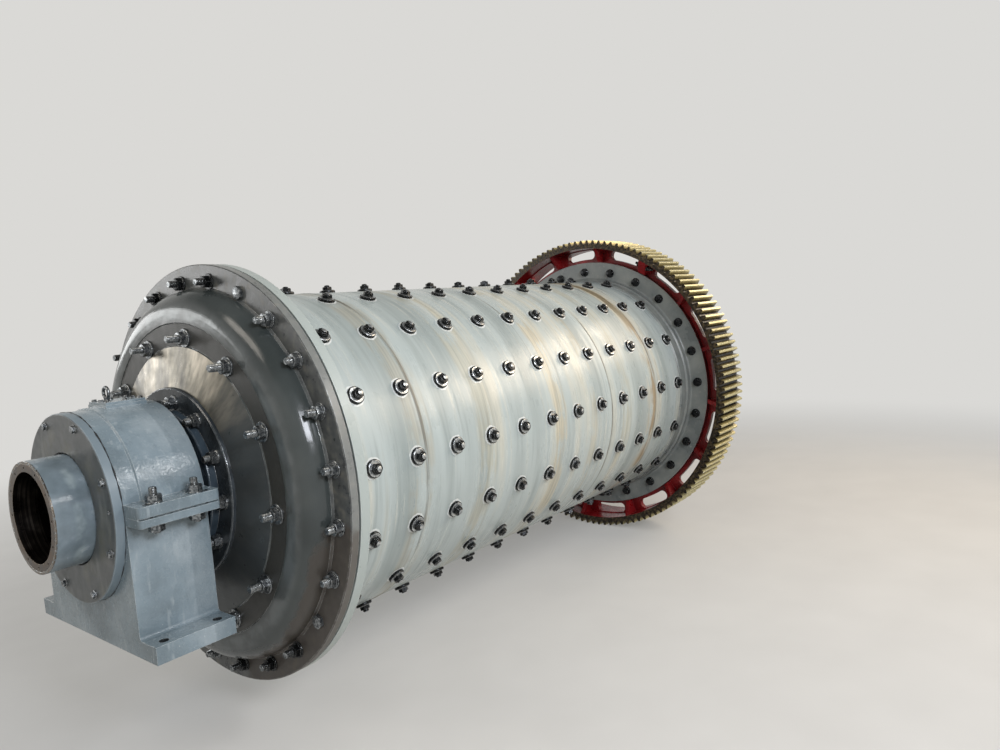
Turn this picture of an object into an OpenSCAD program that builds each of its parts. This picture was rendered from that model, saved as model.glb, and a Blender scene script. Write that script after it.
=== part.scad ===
// Horizontal ball mill: a bolted steel drum that turns in two trunnion bearings.
// A spur girth gear is bolted in at the discharge end.
// The mill axis runs along +X, from the feed end to the gear end.
// The origin is the centre of the feed bearing's underside, and +Z is up.

/* [Drum shell] */
// Inside diameter of the shell
shell_d = 1500; // [1400:5:1800]
// Thickness of the shell plate
shell_t = 19; // [12:1:24]
// Distance over the outer faces of the two head flanges
drum_l = 3292; // [2200:1:5000]
// Width of the shell flanges and head flanges outside the shell plate
flange_w = 142; // [120:1:170]
// Thickness of a shell flange
shell_flange_t = 45; // [30:1:60]
// Length of the thickened ring that backs the gear flange
back_ring_l = 120; // [80:1:300]
// Length of its taller step next to the flange
back_step_l = 41; // [20:1:70]
// Rise of each step of that ring
back_step_h = 9; // [4:1:12]
// Thickness of the wear plates that line the shell
liner_t = 50; // [30:1:70]
// Height of the lifting wave on each wear plate
lifter_h = 26; // [10:1:40]
// Rows of wear plates around the shell
liner_rows = 16; // [12:1:24]
// Open joint between two rows of wear plates
liner_gap = 6; // [3:1:10]

/* [Heads] */
// Thickness of a head flange
head_flange_t = 45; // [35:1:60]
// Depth of the relief groove on the flange edge
edge_groove = 9; // [4:1:14]
// Wall thickness of a head
head_t = 50; // [40:1:60]
// Reach of the rounded shoulder beyond the inside of the shell
shoulder_w = 57; // [50:1:70]
// Radius of the rounded shoulder
shoulder_r = 100; // [80:1:110]
// Straight wall between the flange face and the shoulder
shoulder_foot = 8; // [4:1:30]
// Depth of the machined ring below the crest of the shoulder
ring_dip = 4; // [2:1:8]
// Width of the flat crest between the shoulder and the machined ring
ring_gap = 39; // [20:1:60]
// Width of the machined ring
ring_w = 92; // [70:1:110]
// Rise of the polished cone inside the ring
cone_h = 44; // [20:1:70]
// Thickness of the wear plates on the inside of a head
head_liner_t = 50; // [30:1:60]
// Number of wear plates on a head
head_liner_count = 12; // [8:1:16]

/* [Trunnions] */
// Width of the trunnion flange outside the hub
seat_w = 89; // [75:1:110]
// Thickness of the trunnion flange
trunnion_flange_t = 45; // [35:1:60]
// Height of that flange above the cone
trunnion_proud = 17; // [8:1:28]
// Step from the hub down to the register that centres the trunnion in the head
register_step = 26; // [15:1:40]
// Width of the hub outside the neck in the bearing
hub_w = 61; // [45:1:75]
// Height of the hub
hub_h = 35; // [20:1:45]
// Step from the outer tube up to the journal
journal_step = 30; // [20:1:40]
// Wall of the tube outside the end ring of its liner
tube_edge = 10; // [5:1:20]
// Length of that tube outside the end cover
tube_l = 132; // [60:1:240]
// Bore of the trunnion liner
bore_d = 342; // [320:1:350]
// Wall thickness of the trunnion liner
bore_liner_t = 8; // [5:1:12]
// Width of the liner's end ring beyond its tube
end_ring_w = 21; // [21:1:28]
// Thickness of the end ring
end_ring_t = 12; // [8:1:20]
// Tapped holes in the end ring
end_hole_count = 12; // [6:1:16]
// Diameter of those holes
end_hole_d = 10; // [6:1:12]
// Depth of those holes
end_hole_l = 35; // [25:1:50]

/* [Bearings] */
// Height of the mill axis above the bearing feet
axis_h = 515; // [480:1:700]
// Length of a bearing along the mill axis
bearing_l = 308; // [260:1:400]
// Space between the hub and the bearing
bearing_gap = 50; // [30:1:90]
// Wall of the bearing housing around the bush
housing_wall = 68; // [50:1:90]
// Length of the lower band at the front of the cap
cap_band_l = 63; // [40:1:90]
// Step from that band to the rest of the cap
cap_step = 6; // [2:1:10]
// Reach of a bearing foot beyond the wall
foot_reach = 112; // [95:1:180]
// Thickness of a bearing foot
foot_t = 65; // [40:1:90]
// Fillet between a foot and the wall
foot_fillet = 14; // [6:1:20]
// Distance from a foot's end face to its bolts
foot_end = 50; // [40:1:70]
// Distance from a foot's outer edge to its bolts
foot_edge = 39; // [30:1:50]
// Diameter of a foot bolt hole
foot_hole_d = 34; // [20:1:40]
// Reach of the split flanges beyond the wall
ear_reach = 102; // [80:1:140]
// Thickness of the split flange on the cap
ear_cap_t = 43; // [30:1:60]
// Thickness of the split flange on the base
ear_base_t = 31; // [25:1:60]
// Depth of the groove along the split
split_groove = 12; // [6:1:18]
// Wall thickness of the bush
bush_t = 60; // [40:1:80]
// Thickness of the seal ring on the inner side of a bearing
seal_t = 12; // [8:1:20]
// Wall of the housing behind the seal ring
seal_back = 3; // [2:1:10]
// Step from the housing wall in to the end cover
cover_inset = 5; // [2:1:15]
// Thickness of the end cover
cover_t = 35; // [20:1:50]
// Length of the lid on the cap
lid_l = 160; // [120:1:200]
// Width of the lid
lid_w = 150; // [120:1:170]
// Thickness of the lid
lid_t = 10; // [6:1:16]
// Inside diameter of the lifting eye
eye_d = 30; // [20:1:40]
// Thickness of the lifting eye's ring
eye_t = 13; // [8:1:16]

/* [Girth gear] */
// Gear module, the pitch diameter over the number of teeth
gear_module = 16; // [10:1:20]
// Pressure angle of the teeth
pressure_angle = 20; // [18:1:25]
// Width of the toothed rim
gear_w = 310; // [240:1:340]
// Thickness of the rim under the teeth
rim_t = 24; // [16:1:26]
// Thickness of the web that is bolted between the flanges
web_t = 36; // [30:1:60]
// Number of slots in the web, an even number
slot_count = 16; // [12:2:16]
// Length of a slot
slot_l = 236; // [180:1:250]
// Depth of a slot, which fixes the number of teeth
slot_depth = 91; // [60:1:140]
// Metal left beside a slot
slot_margin = 5; // [4:1:16]
// Corner radius of a slot
slot_corner = 16; // [8:1:24]
// Thickness of a rib
rib_t = 26; // [16:1:32]
// Height of a rib above the web next to the flanges
rib_low = 50; // [50:1:80]
// Distance from a rib's end to the side of the rim
rib_inset = 14; // [6:1:30]
// Thickness of the plate on each side of the gear joint
joint_t = 30; // [20:1:36]
// Angle of the gear joint around the mill
gear_turn = 120; // [0:7.5:180]

/* [Hidden] */
$fn = 96;

// Colours of the paints and bare metals
bearing_blue = "LightSlateGray";
cover_grey = "Gray";
head_grey = "DimGray";
shell_grey = "LightSteelBlue";
machined_steel = "Silver";
bearing_metal = "Goldenrod";
wear_steel = "DarkSlateGray";
gear_red = "Firebrick";

// Clearances: a static fit, a running fit and a free running gap
fit_gap = 0.2;
run_gap = 0.08;
free_gap = 7;

// Radii of the drum
shell_ri = shell_d / 2;
shell_ro = shell_ri + shell_t;
flange_r = shell_ro + flange_w;
edge_chamfer = 4;

// Stations of one end, measured outwards from the head flange's face
head_back = -head_flange_t;
spigot_l = 15;
spigot_t = 14;
ring_h = shoulder_foot + shoulder_r - ring_dip;
cone_end = ring_h + cone_h;
seat_h = cone_end + trunnion_proud - trunnion_flange_t;
hub_start = seat_h + trunnion_flange_t;
hub_end = hub_start + hub_h;
bearing_start = hub_end + bearing_gap;
bearing_end = bearing_start + bearing_l;
cover_end = bearing_end + cover_t;
tube_end = cover_end + tube_l;

// Radii of the trunnion and its liner, from the bore outwards
bore_r = bore_d / 2;
bore_liner_r = bore_r + bore_liner_t;
end_ring_r = bore_liner_r + end_ring_w;
end_pcd_r = (bore_r + end_ring_r) / 2;
end_hole_turn = 27;
tube_r = end_ring_r + tube_edge;
journal_r = tube_r + journal_step;
neck_r = journal_r + 15;
neck_fillet = 18;
hub_r = neck_r + hub_w;
register_r = hub_r - register_step;
seat_r = hub_r + seat_w;

// Radii and stations of the head
shoulder_ro = shell_ri + shoulder_w;
shoulder_c = shoulder_ro - shoulder_r;
ring_ro = shoulder_c - ring_gap;
ring_ri = ring_ro - ring_w;
ring_step = ring_dip;
head_inner = cone_end - head_t;

// Stations of the bush, the journal and the cover's spigot
bush_r = journal_r + bush_t;
inner_wall_t = seal_t + seal_back;
bush_start = bearing_start + inner_wall_t + fit_gap;
cover_spigot = 11;
bush_end = bearing_end - cover_spigot - fit_gap;
journal_end = bush_end - free_gap;
journal_start = hub_end + neck_fillet;
wall_hole_r = neck_r + 2 * free_gap;

// Bearing housing
cap_r = bush_r + housing_wall;
band_r = cap_r - cap_step;
cover_r = cap_r - cover_inset;
foot_out = cap_r + foot_reach;
ear_out = cap_r + ear_reach;
foot_y = foot_out - foot_edge;
foot_x = bearing_l / 2 - foot_end;
ear_corner = 15;
split_gap = 0.15;
split_open = 3;
pad_top = cap_r + 6;
lid_mid = bearing_start + bearing_l / 2 - 34;
eye_stem = 18;

// Girth gear
rim_seat = flange_r + slot_depth + 2 * slot_margin + rim_t;
gear_teeth = 2 * round(rim_seat / gear_module + 1.25);
pitch_r = gear_module * gear_teeth / 2;
tip_r = pitch_r + gear_module;
root_r = pitch_r - 1.25 * gear_module;
base_r = pitch_r * cos(pressure_angle);
rim_ri = root_r - rim_t;
rim_overlap = 5;
flank_steps = 4;
web_start = head_back - web_t;
gear_mid = head_back - web_t / 2;
slot_r = (flange_r + rim_ri) / 2;
slot_half = (rim_ri - flange_r) / 2 - slot_margin;
slot_step = 360 / slot_count;
rib_ri = flange_r + 6;
half_slots = slot_count / 2;

// Stations of the whole drum along the mill
feed_face = bearing_start + bearing_l / 2;
discharge_face = feed_face + drum_l;
shell_start = feed_face + head_flange_t;
shell_l = drum_l - 2 * head_flange_t;
liner_start = shell_start + spigot_l + 2;
liner_l = shell_l - 2 * (spigot_l + 2);

// Points on an arc from angle a0 to a1
function arc(c, r, a0, a1, n = 16) =
    [for (i = [0:n]) let (a = a0 + (a1 - a0) * i / n) [c[0] + r * cos(a), c[1] + r * sin(a)]];

// Involute function of an angle, in degrees
function inv(a) = tan(a) * 180 / PI - a;

// Half the angle that a tooth fills at radius r
function tooth_half(r) = 90 / gear_teeth + inv(pressure_angle) - inv(acos(base_r / r));

function polar(r, a) = [r * cos(a), r * sin(a)];

// Rising and falling flank of the tooth whose middle lies at angle a
function tooth(a) = concat(
    [for (i = [0:flank_steps]) let (r = root_r + (tip_r - root_r) * i / flank_steps)
        polar(r, a - tooth_half(r))],
    [for (i = [flank_steps:-1:0]) let (r = root_r + (tip_r - root_r) * i / flank_steps)
        polar(r, a + tooth_half(r))]);

// Inner outline of one wear plate, with its lifting wave in the middle
function plate(a0, a1, n = 10) = concat(
    arc([0, 0], shell_ri - 2 * fit_gap, a0, a1, n),
    [for (i = [n:-1:0]) let (t = i / n)
        polar(shell_ri - liner_t - lifter_h * sin(180 * t), a0 + (a1 - a0) * t)]);

// Places a shape drawn across the mill, with its height pointing out of the feed end
module at_feed() {
    translate([feed_face, 0, axis_h]) mirror([1, 0, 0]) rotate([90, 0, 90]) children();
}

// The same for the discharge end
module at_discharge() {
    translate([discharge_face, 0, axis_h]) rotate([90, 0, 90]) children();
}

// Places a shape along the mill, with its height pointing along +X
module along(x) {
    translate([x, 0, axis_h]) rotate([90, 0, 90]) children();
}

// Turned part with the mill axis as its axis
module turned(points, a = 360) {
    rotate_extrude(angle = a) polygon(points);
}

// Tube between two stations
module ring(ro, ri, z0, z1) {
    translate([0, 0, z0]) difference() {
        cylinder(r = ro, h = z1 - z0);
        translate([0, 0, -1]) cylinder(r = ri, h = z1 - z0 + 2);
    }
}

// Head: bolting flange, rounded shoulder, machined ring, polished cone and trunnion seat
module head() {
    inner_corner = shoulder_r / 4;
    inner_r = shell_ri - fit_gap - spigot_t;
    inner_face = ring_h - head_t + ring_step;
    turned(concat(
        [[shell_ri - fit_gap, head_back - spigot_l],
         [shell_ri - fit_gap, head_back],
         [flange_r - edge_groove, head_back],
         [flange_r - edge_groove, head_back + edge_groove],
         [flange_r, head_back + edge_groove],
         [flange_r, -edge_chamfer],
         [flange_r - edge_chamfer, 0],
         [shoulder_ro + shoulder_foot, 0]],
        arc([shoulder_c, shoulder_foot], shoulder_r, 0, 90, 24),
        [[ring_ro + ring_step, shoulder_foot + shoulder_r],
         [ring_ro, ring_h],
         [ring_ri, ring_h],
         [ring_ri - ring_step, ring_h + ring_step],
         [seat_r + fit_gap, cone_end],
         [seat_r + fit_gap, seat_h],
         [register_r + fit_gap, seat_h],
         [register_r + fit_gap, head_inner],
         [seat_r, head_inner],
         [ring_ri, inner_face]],
        arc([inner_r - inner_corner, inner_face - inner_corner], inner_corner, 90, 0, 6),
        [[inner_r, head_back - spigot_l]]));
}

// Wear plates on the inside of a head, one solid for each plate
module head_liner() {
    step = 360 / head_liner_count;
    back = head_inner - 2 * fit_gap;
    face = ring_h - head_t + ring_step - 2 * fit_gap;
    rim = shell_ri - fit_gap - spigot_t - shoulder_r / 4 - 2;
    for (i = [0:head_liner_count - 1])
        rotate([0, 0, i * step]) turned(
            [[bore_liner_r + free_gap, back],
             [seat_r - 8, back],
             [ring_ri - 8, face],
             [rim, face],
             [rim, face - head_liner_t],
             [ring_ri - 12, face - head_liner_t],
             [seat_r - 12, back - head_liner_t],
             [bore_liner_r + free_gap, back - head_liner_t]],
            step - 0.6);
}

// Trunnion: flange, hub, journal and protruding tube in one casting
module trunnion() {
    difference() {
        turned(concat(
            [[bore_liner_r + fit_gap, head_inner],
             [register_r, head_inner],
             [register_r, seat_h],
             [seat_r, seat_h],
             [seat_r, hub_start - edge_chamfer],
             [seat_r - edge_chamfer, hub_start],
             [hub_r, hub_start],
             [hub_r, hub_end - edge_chamfer],
             [hub_r - edge_chamfer, hub_end]],
            arc([neck_r + neck_fillet, hub_end + neck_fillet], neck_fillet, 270, 180, 6),
            [[journal_r, hub_end + neck_fillet + 15],
             [journal_r, journal_end - edge_chamfer],
             [journal_r - edge_chamfer, journal_end],
             [tube_r, journal_end],
             [tube_r, tube_end],
             [end_ring_r + fit_gap, tube_end],
             [end_ring_r + fit_gap, tube_end - end_ring_t - fit_gap],
             [bore_liner_r + fit_gap, tube_end - end_ring_t - fit_gap]]));
        end_holes();
    }
}

// Tapped holes in the end ring and the tube behind it
module end_holes() {
    for (i = [0:end_hole_count - 1])
        rotate([0, 0, end_hole_turn + i * 360 / end_hole_count])
            translate([end_pcd_r, 0, tube_end - end_hole_l])
                cylinder(d = end_hole_d, h = end_hole_l + 1);
}

// Steel liner of the trunnion bore, with its end ring let into the tube
module bore_liner() {
    difference() {
        turned(
            [[bore_r, head_inner],
             [bore_liner_r, head_inner],
             [bore_liner_r, tube_end - end_ring_t],
             [end_ring_r, tube_end - end_ring_t],
             [end_ring_r, tube_end],
             [bore_r, tube_end]]);
        end_holes();
    }
}

// Lower half of the housing: walls, feet and the lower split flange
module bearing_base() {
    difference() {
        union() {
            translate([0, 0, bearing_start]) linear_extrude(bearing_l) base_outline();
            ears(-split_gap - ear_base_t, -split_gap);
        }
        housing_bore();
        split_groove_cut(-split_gap - split_open, 0);
        for (x = [-1, 1], y = [-1, 1])
            translate([x * foot_y, -axis_h - 1, bearing_start + bearing_l / 2 + y * foot_x])
                rotate([-90, 0, 0]) cylinder(d = foot_hole_d, h = foot_t + foot_fillet + 2);
    }
}

// Front view of the lower half
module base_outline() {
    top = foot_t - axis_h;
    side = concat(
        [[cap_r, -split_gap]],
        [[cap_r, top + foot_fillet]],
        arc([cap_r + foot_fillet, top + foot_fillet], foot_fillet, 180, 270, 6),
        [[foot_out, top], [foot_out, -axis_h]]);
    polygon(concat(side, [for (i = [len(side) - 1:-1:0]) [-side[i][0], side[i][1]]]));
}

// Bore that holds the bush, and the hole for the neck in the inner wall
module housing_bore() {
    translate([0, 0, bearing_start - 1]) cylinder(r = wall_hole_r, h = bearing_l + 2);
    translate([0, 0, bearing_start + inner_wall_t]) cylinder(r = bush_r + fit_gap, h = bearing_l);
    translate([0, 0, bearing_start - 1]) cylinder(r = wall_hole_r + 10, h = seal_t + 1);
}

// Pair of split flanges between two heights
module ears(y0, y1) {
    for (s = [-1, 1])
        translate([0, y1, 0]) rotate([90, 0, 0]) linear_extrude(y1 - y0) ear_outline(s);
}

// Split flange seen from above, with its two outer corners rounded
module ear_outline(s) {
    mid = ear_out - ear_corner;
    pts = concat(
        [[bush_r + 20, bearing_start]],
        arc([mid, bearing_start + ear_corner], ear_corner, -90, 0, 6),
        arc([mid, bearing_end - ear_corner], ear_corner, 0, 90, 6),
        [[bush_r + 20, bearing_end]]);
    polygon([for (p = pts) [s * p[0], p[1]]]);
}

// Groove that opens the split along the outer edges of the flanges
module split_groove_cut(y0, y1) {
    for (s = [-1, 1])
        translate([s * ear_out - split_groove, y0, bearing_start - 1])
            cube([2 * split_groove, y1 - y0, bearing_l + 2]);
}

// Upper half of the housing: half round cap with a lid pad and the upper split flange
module bearing_cap() {
    difference() {
        union() {
            intersection() {
                turned(
                    [[bush_r - 30, bearing_start],
                     [cap_r - edge_chamfer / 2, bearing_start],
                     [cap_r, bearing_start + edge_chamfer / 2],
                     [cap_r, bearing_end - cap_band_l - cap_step],
                     [band_r, bearing_end - cap_band_l],
                     [band_r, bearing_end],
                     [bush_r - 30, bearing_end]]);
                translate([-2 * cap_r, split_gap, 0]) cube([4 * cap_r, 2 * cap_r, bearing_end + 10]);
            }
            ears(split_gap, split_gap + ear_cap_t);
            translate([-lid_w / 2, bush_r + 20, lid_mid - lid_l / 2])
                cube([lid_w, pad_top - bush_r - 20, lid_l]);
        }
        housing_bore();
        split_groove_cut(0, split_gap + split_open);
    }
}

// Lid on the cap's pad
module lid() {
    inset = 3;
    translate([-lid_w / 2 + inset, pad_top, lid_mid - lid_l / 2 + inset])
        cube([lid_w - 2 * inset, lid_t, lid_l - 2 * inset]);
}

// Lifting eye screwed into the lid
module lifting_eye() {
    top = pad_top + lid_t;
    ring_mid = top + eye_stem + eye_d / 2;
    translate([0, top, lid_mid + lid_l / 4]) rotate([-90, 0, 0])
        cylinder(d = 1.6 * eye_t, h = eye_stem);
    translate([0, ring_mid, lid_mid + lid_l / 4])
        rotate_extrude() translate([(eye_d + eye_t) / 2, 0]) circle(d = eye_t, $fn = 32);
}

// Bush that carries the journal
module bush() {
    ring(bush_r, journal_r + run_gap, bush_start, bush_end);
}

// Seal ring in the inner wall of the housing
module oil_seal() {
    ring(wall_hole_r + 10 - fit_gap, neck_r + free_gap, bearing_start, bearing_start + seal_t - fit_gap);
}

// Round end cover with the spigot that holds the bush
module end_cover() {
    turned(
        [[tube_r + free_gap, bearing_end - cover_spigot],
         [bush_r - fit_gap, bearing_end - cover_spigot],
         [bush_r - fit_gap, bearing_end],
         [cover_r, bearing_end],
         [cover_r, cover_end - edge_chamfer],
         [cover_r - edge_chamfer, cover_end],
         [tube_r + free_gap, cover_end]]);
}

// Shell plate
module shell_tube() {
    ring(shell_ro, shell_ri, 0, shell_l);
}

// Plain flange on the feed end of the shell
module plain_flange() {
    turned(
        [[shell_ro + fit_gap, head_back],
         [flange_r, head_back],
         [flange_r, head_back - shell_flange_t],
         [shell_ro + fit_gap, head_back - shell_flange_t]]);
}

// Flange that backs the gear, with a stepped ring along the shell
module stepped_flange() {
    face = web_start - shell_flange_t;
    fillet = 16;
    low = shell_ro + back_step_h;
    high = low + back_step_h;
    turned(concat(
        [[shell_ro + fit_gap, web_start],
         [flange_r, web_start],
         [flange_r, face]],
        arc([high + fillet, face - fillet], fillet, 90, 180, 6),
        [[high, face - back_step_l],
         [low, face - back_step_l - back_step_h],
         [low, face - back_ring_l],
         [shell_ro + fit_gap, face - back_ring_l - back_step_h]]));
}

// Wear plates of the shell, one solid for each row
module shell_plates() {
    step = 360 / liner_rows;
    gap = liner_gap / shell_ri * 180 / PI;
    for (i = [0:liner_rows - 1])
        linear_extrude(liner_l) polygon(plate((i - 0.5) * step + gap / 2, (i + 0.5) * step - gap / 2));
}

// One half of the girth gear: toothed rim, slotted web, ribs and joint plates
module gear_half() {
    difference() {
        union() {
            rim_half();
            web_half();
            for (i = [1:half_slots - 1])
                rotate([0, 0, i * slot_step]) radial_plate(-rib_t / 2, rib_t);
            joint_plates();
        }
        for (i = [0:half_slots - 1])
            rotate([0, 0, (i + 0.5) * slot_step]) web_slot();
    }
}

// Toothed half rim, split in the gaps between teeth
module rim_half() {
    step = 360 / gear_teeth;
    pts = [for (i = [0:gear_teeth / 2 - 1]) each tooth((i + 0.5) * step)];
    translate([0, 0, gear_mid - gear_w / 2]) difference() {
        linear_extrude(gear_w) polygon(concat([[root_r, 0]], pts, [[-root_r, 0]]));
        translate([0, 0, -1]) cylinder(r = rim_ri, h = gear_w + 2);
    }
}

// Half of the flat ring that is bolted between the flanges
module web_half() {
    translate([0, 0, web_start]) rotate_extrude(angle = 180)
        translate([shell_ro + fit_gap, 0]) square([rim_ri + rim_overlap - shell_ro - fit_gap, web_t]);
}

// Part of a ring through the web, between two radii and two angles
module web_sector(r0, r1, half_a) {
    rotate([0, 0, -half_a]) rotate_extrude(angle = 2 * half_a)
        translate([r0, 0]) square([r1 - r0, web_t + 2]);
}

// Slot with rounded corners that follows the web
module web_slot() {
    full_a = slot_l / 2 / slot_r * 180 / PI;
    slot_ri = slot_r - slot_half;
    slot_ro = slot_r + slot_half;
    translate([0, 0, web_start - 1]) {
        web_sector(slot_ri + slot_corner, slot_ro - slot_corner, full_a);
        for (r = [slot_ri + slot_corner, slot_ro - slot_corner])
            let (corner_a = full_a - slot_corner / r * 180 / PI) {
                web_sector(r - slot_corner, r + slot_corner, corner_a);
                for (s = [-1, 1])
                    rotate([0, 0, s * corner_a]) translate([r, 0, 0])
                        cylinder(r = slot_corner, h = web_t + 2);
            }
    }
}

// Radial plate on both faces of the web, tapering towards the flanges, from y = a to y = a + t
module radial_plate(a, t) {
    rib_ro = rim_ri + rim_overlap;
    reach = gear_w / 2 - rib_inset;
    rotate([90, 0, 0]) translate([0, 0, -a - t]) linear_extrude(t)
        polygon([[rib_ri, gear_mid - web_t / 2 - rib_low], [rib_ro, gear_mid - reach],
            [rib_ro, gear_mid + reach], [rib_ri, gear_mid + web_t / 2 + rib_low]]);
}

// Plates that bolt the two halves together
module joint_plates() {
    radial_plate(0, joint_t);
    mirror([1, 0, 0]) radial_plate(0, joint_t);
}

module feed_bearing_base() { color(bearing_blue) at_feed() bearing_base(); }
module feed_bearing_cap() { color(bearing_blue) at_feed() bearing_cap(); }
module feed_end_cover() { color(cover_grey) at_feed() end_cover(); }
module feed_bush() { color(bearing_metal) at_feed() bush(); }
module feed_oil_seal() { color(wear_steel) at_feed() oil_seal(); }
module feed_lid() { color(bearing_blue) at_feed() lid(); }
module feed_lifting_eye() { color(machined_steel) at_feed() lifting_eye(); }
module discharge_bearing_base() { color(bearing_blue) at_discharge() bearing_base(); }
module discharge_bearing_cap() { color(bearing_blue) at_discharge() bearing_cap(); }
module discharge_end_cover() { color(cover_grey) at_discharge() end_cover(); }
module discharge_bush() { color(bearing_metal) at_discharge() bush(); }
module discharge_oil_seal() { color(wear_steel) at_discharge() oil_seal(); }
module discharge_lid() { color(bearing_blue) at_discharge() lid(); }
module discharge_lifting_eye() { color(machined_steel) at_discharge() lifting_eye(); }
module shell() { color(shell_grey) along(shell_start) shell_tube(); }
module feed_shell_flange() { color(shell_grey) at_feed() plain_flange(); }
module gear_shell_flange() { color(shell_grey) at_discharge() stepped_flange(); }
module shell_liner() { color(wear_steel) along(liner_start) shell_plates(); }
module feed_head() { color(head_grey) at_feed() head(); }
module discharge_head() { color(head_grey) at_discharge() head(); }
module feed_head_liner() { color(wear_steel) at_feed() head_liner(); }
module discharge_head_liner() { color(wear_steel) at_discharge() head_liner(); }
module feed_trunnion() { color(head_grey) at_feed() trunnion(); }
module discharge_trunnion() { color(head_grey) at_discharge() trunnion(); }
module feed_bore_liner() { color(machined_steel) at_feed() bore_liner(); }
module discharge_bore_liner() { color(machined_steel) at_discharge() bore_liner(); }
module gear_half_a() { color(gear_red) at_discharge() rotate([0, 0, gear_turn]) gear_half(); }
module gear_half_b() { color(gear_red) at_discharge() rotate([0, 0, gear_turn + 180]) gear_half(); }

feed_bearing_base();
feed_bearing_cap();
feed_end_cover();
feed_bush();
feed_oil_seal();
feed_lid();
feed_lifting_eye();
discharge_bearing_base();
discharge_bearing_cap();
discharge_end_cover();
discharge_bush();
discharge_oil_seal();
discharge_lid();
discharge_lifting_eye();
shell();
feed_shell_flange();
gear_shell_flange();
shell_liner();
feed_head();
discharge_head();
feed_head_liner();
discharge_head_liner();
feed_trunnion();
discharge_trunnion();
feed_bore_liner();
discharge_bore_liner();
gear_half_a();
gear_half_b();
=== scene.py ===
import math
import random

import bpy
from mathutils import Matrix, Vector


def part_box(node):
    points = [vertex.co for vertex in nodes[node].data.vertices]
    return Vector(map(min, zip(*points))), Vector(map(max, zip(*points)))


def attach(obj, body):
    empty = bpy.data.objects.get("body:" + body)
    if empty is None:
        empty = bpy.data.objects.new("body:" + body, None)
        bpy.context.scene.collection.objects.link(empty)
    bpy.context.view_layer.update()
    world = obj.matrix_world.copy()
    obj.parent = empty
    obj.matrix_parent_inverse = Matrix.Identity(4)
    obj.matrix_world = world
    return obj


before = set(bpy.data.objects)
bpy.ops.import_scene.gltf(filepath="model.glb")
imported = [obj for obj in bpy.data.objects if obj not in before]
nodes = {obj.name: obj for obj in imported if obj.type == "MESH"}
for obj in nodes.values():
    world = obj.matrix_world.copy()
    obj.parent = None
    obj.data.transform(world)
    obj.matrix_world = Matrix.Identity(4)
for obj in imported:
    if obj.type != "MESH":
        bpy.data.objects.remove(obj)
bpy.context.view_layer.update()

# The view. The photograph was taken by hand beside the feed bearing, a little
# above the mill's axis, with a wide lens and a slight roll.

camera_data = bpy.data.cameras.new("camera")
camera_data.sensor_width = 36.0
camera_data.lens = 27.3
camera_data.clip_end = 60.0
camera = bpy.data.objects.new("camera", camera_data)
bpy.context.scene.collection.objects.link(camera)
camera_right = Vector((0.62092, -0.78026, -0.07513))
camera_up = Vector((0.11722, -0.00235, 0.99311))
camera_ahead = Vector((0.77506, 0.62545, -0.09000))
camera.matrix_world = Matrix((
    (camera_right.x, camera_up.x, -camera_ahead.x, -1.3384),
    (camera_right.y, camera_up.y, -camera_ahead.y, -3.0550),
    (camera_right.z, camera_up.z, -camera_ahead.z, 1.1522),
    (0.0, 0.0, 0.0, 1.0),
))
bpy.context.scene.camera = camera
bpy.context.scene.view_settings.view_transform = "Standard"

# Bearing housings. Each is a split casting with a half round cap, bolted
# together at the height of the axis and brushed with blue-grey machine enamel.
# The enamel is glossy, but the rough casting shows through it.

AXIS_HEIGHT = 0.515
MID_LENGTH = 2.05
HALF_DRUM = 1.646
CAP_BAND, CAP_RADIUS = 0.334, 0.3585
HOLE_OFF_X, HOLE_OFF_Y, HOLE_RADIUS = 0.104, 0.441, 0.017
SOFT = {"interpolation_type": "SMOOTHSTEP"}
TIMES = {"operation": "MULTIPLY"}
LESS = {"operation": "SUBTRACT"}
DISTANCE = {"operation": "ABSOLUTE"}
LENGTH = {"operation": "LENGTH", "out": "Value"}
TINT = {"data_type": "RGBA", "out": 2}


def paint(code):
    """Linear colour of an sRGB hex value."""
    channels = [int(code[i:i + 2], 16) / 255 for i in (1, 3, 5)]
    return [c / 12.92 if c <= 0.04045 else ((c + 0.055) / 1.055) ** 2.4 for c in channels] + [1.0]


def add(tree, kind, inputs=(), out=0, stops=(), **settings):
    """Adds a node with its settings and ramp stops, links or sets its inputs, and returns one output."""
    node = tree.nodes.new("ShaderNode" + kind)
    for name, value in settings.items():
        setattr(node, name, value)
    for i, (place, code) in enumerate(stops):
        stop = node.color_ramp.elements[i] if i < 2 else node.color_ramp.elements.new(place)
        stop.position, stop.color = place, paint(code)
    for name, value in dict(inputs).items():
        if isinstance(value, bpy.types.NodeSocket):
            tree.links.new(value, node.inputs[name])
        else:
            node.inputs[name].default_value = paint(value) if isinstance(value, str) else value
    return node.outputs[out] if node.outputs else node


def new_material(name):
    """A material with an empty tree."""
    material = bpy.data.materials.new(name)
    material.use_nodes = True
    material.node_tree.nodes.clear()
    return material, material.node_tree


def across_axis(tree, point):
    """Vector from the mill's axis straight out to the point."""
    axis = add(tree, "CombineXYZ", {0: add(tree, "SeparateXYZ", {0: point}), 2: AXIS_HEIGHT})
    return add(tree, "VectorMath", {0: point, 1: axis}, **LESS)


def mill_place(tree):
    """The point, its height out of the nearer head flange, and its radius from the mill's axis."""
    point = add(tree, "TexCoord", out="Object")
    middle = add(tree, "Math", {0: add(tree, "SeparateXYZ", {0: point}), 1: MID_LENGTH}, **LESS)
    height = add(tree, "Math", {0: add(tree, "Math", {0: middle}, **DISTANCE), 1: HALF_DRUM}, **LESS)
    radius = add(tree, "VectorMath", {0: across_axis(tree, point)}, **LENGTH)
    return point, height, radius


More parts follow.
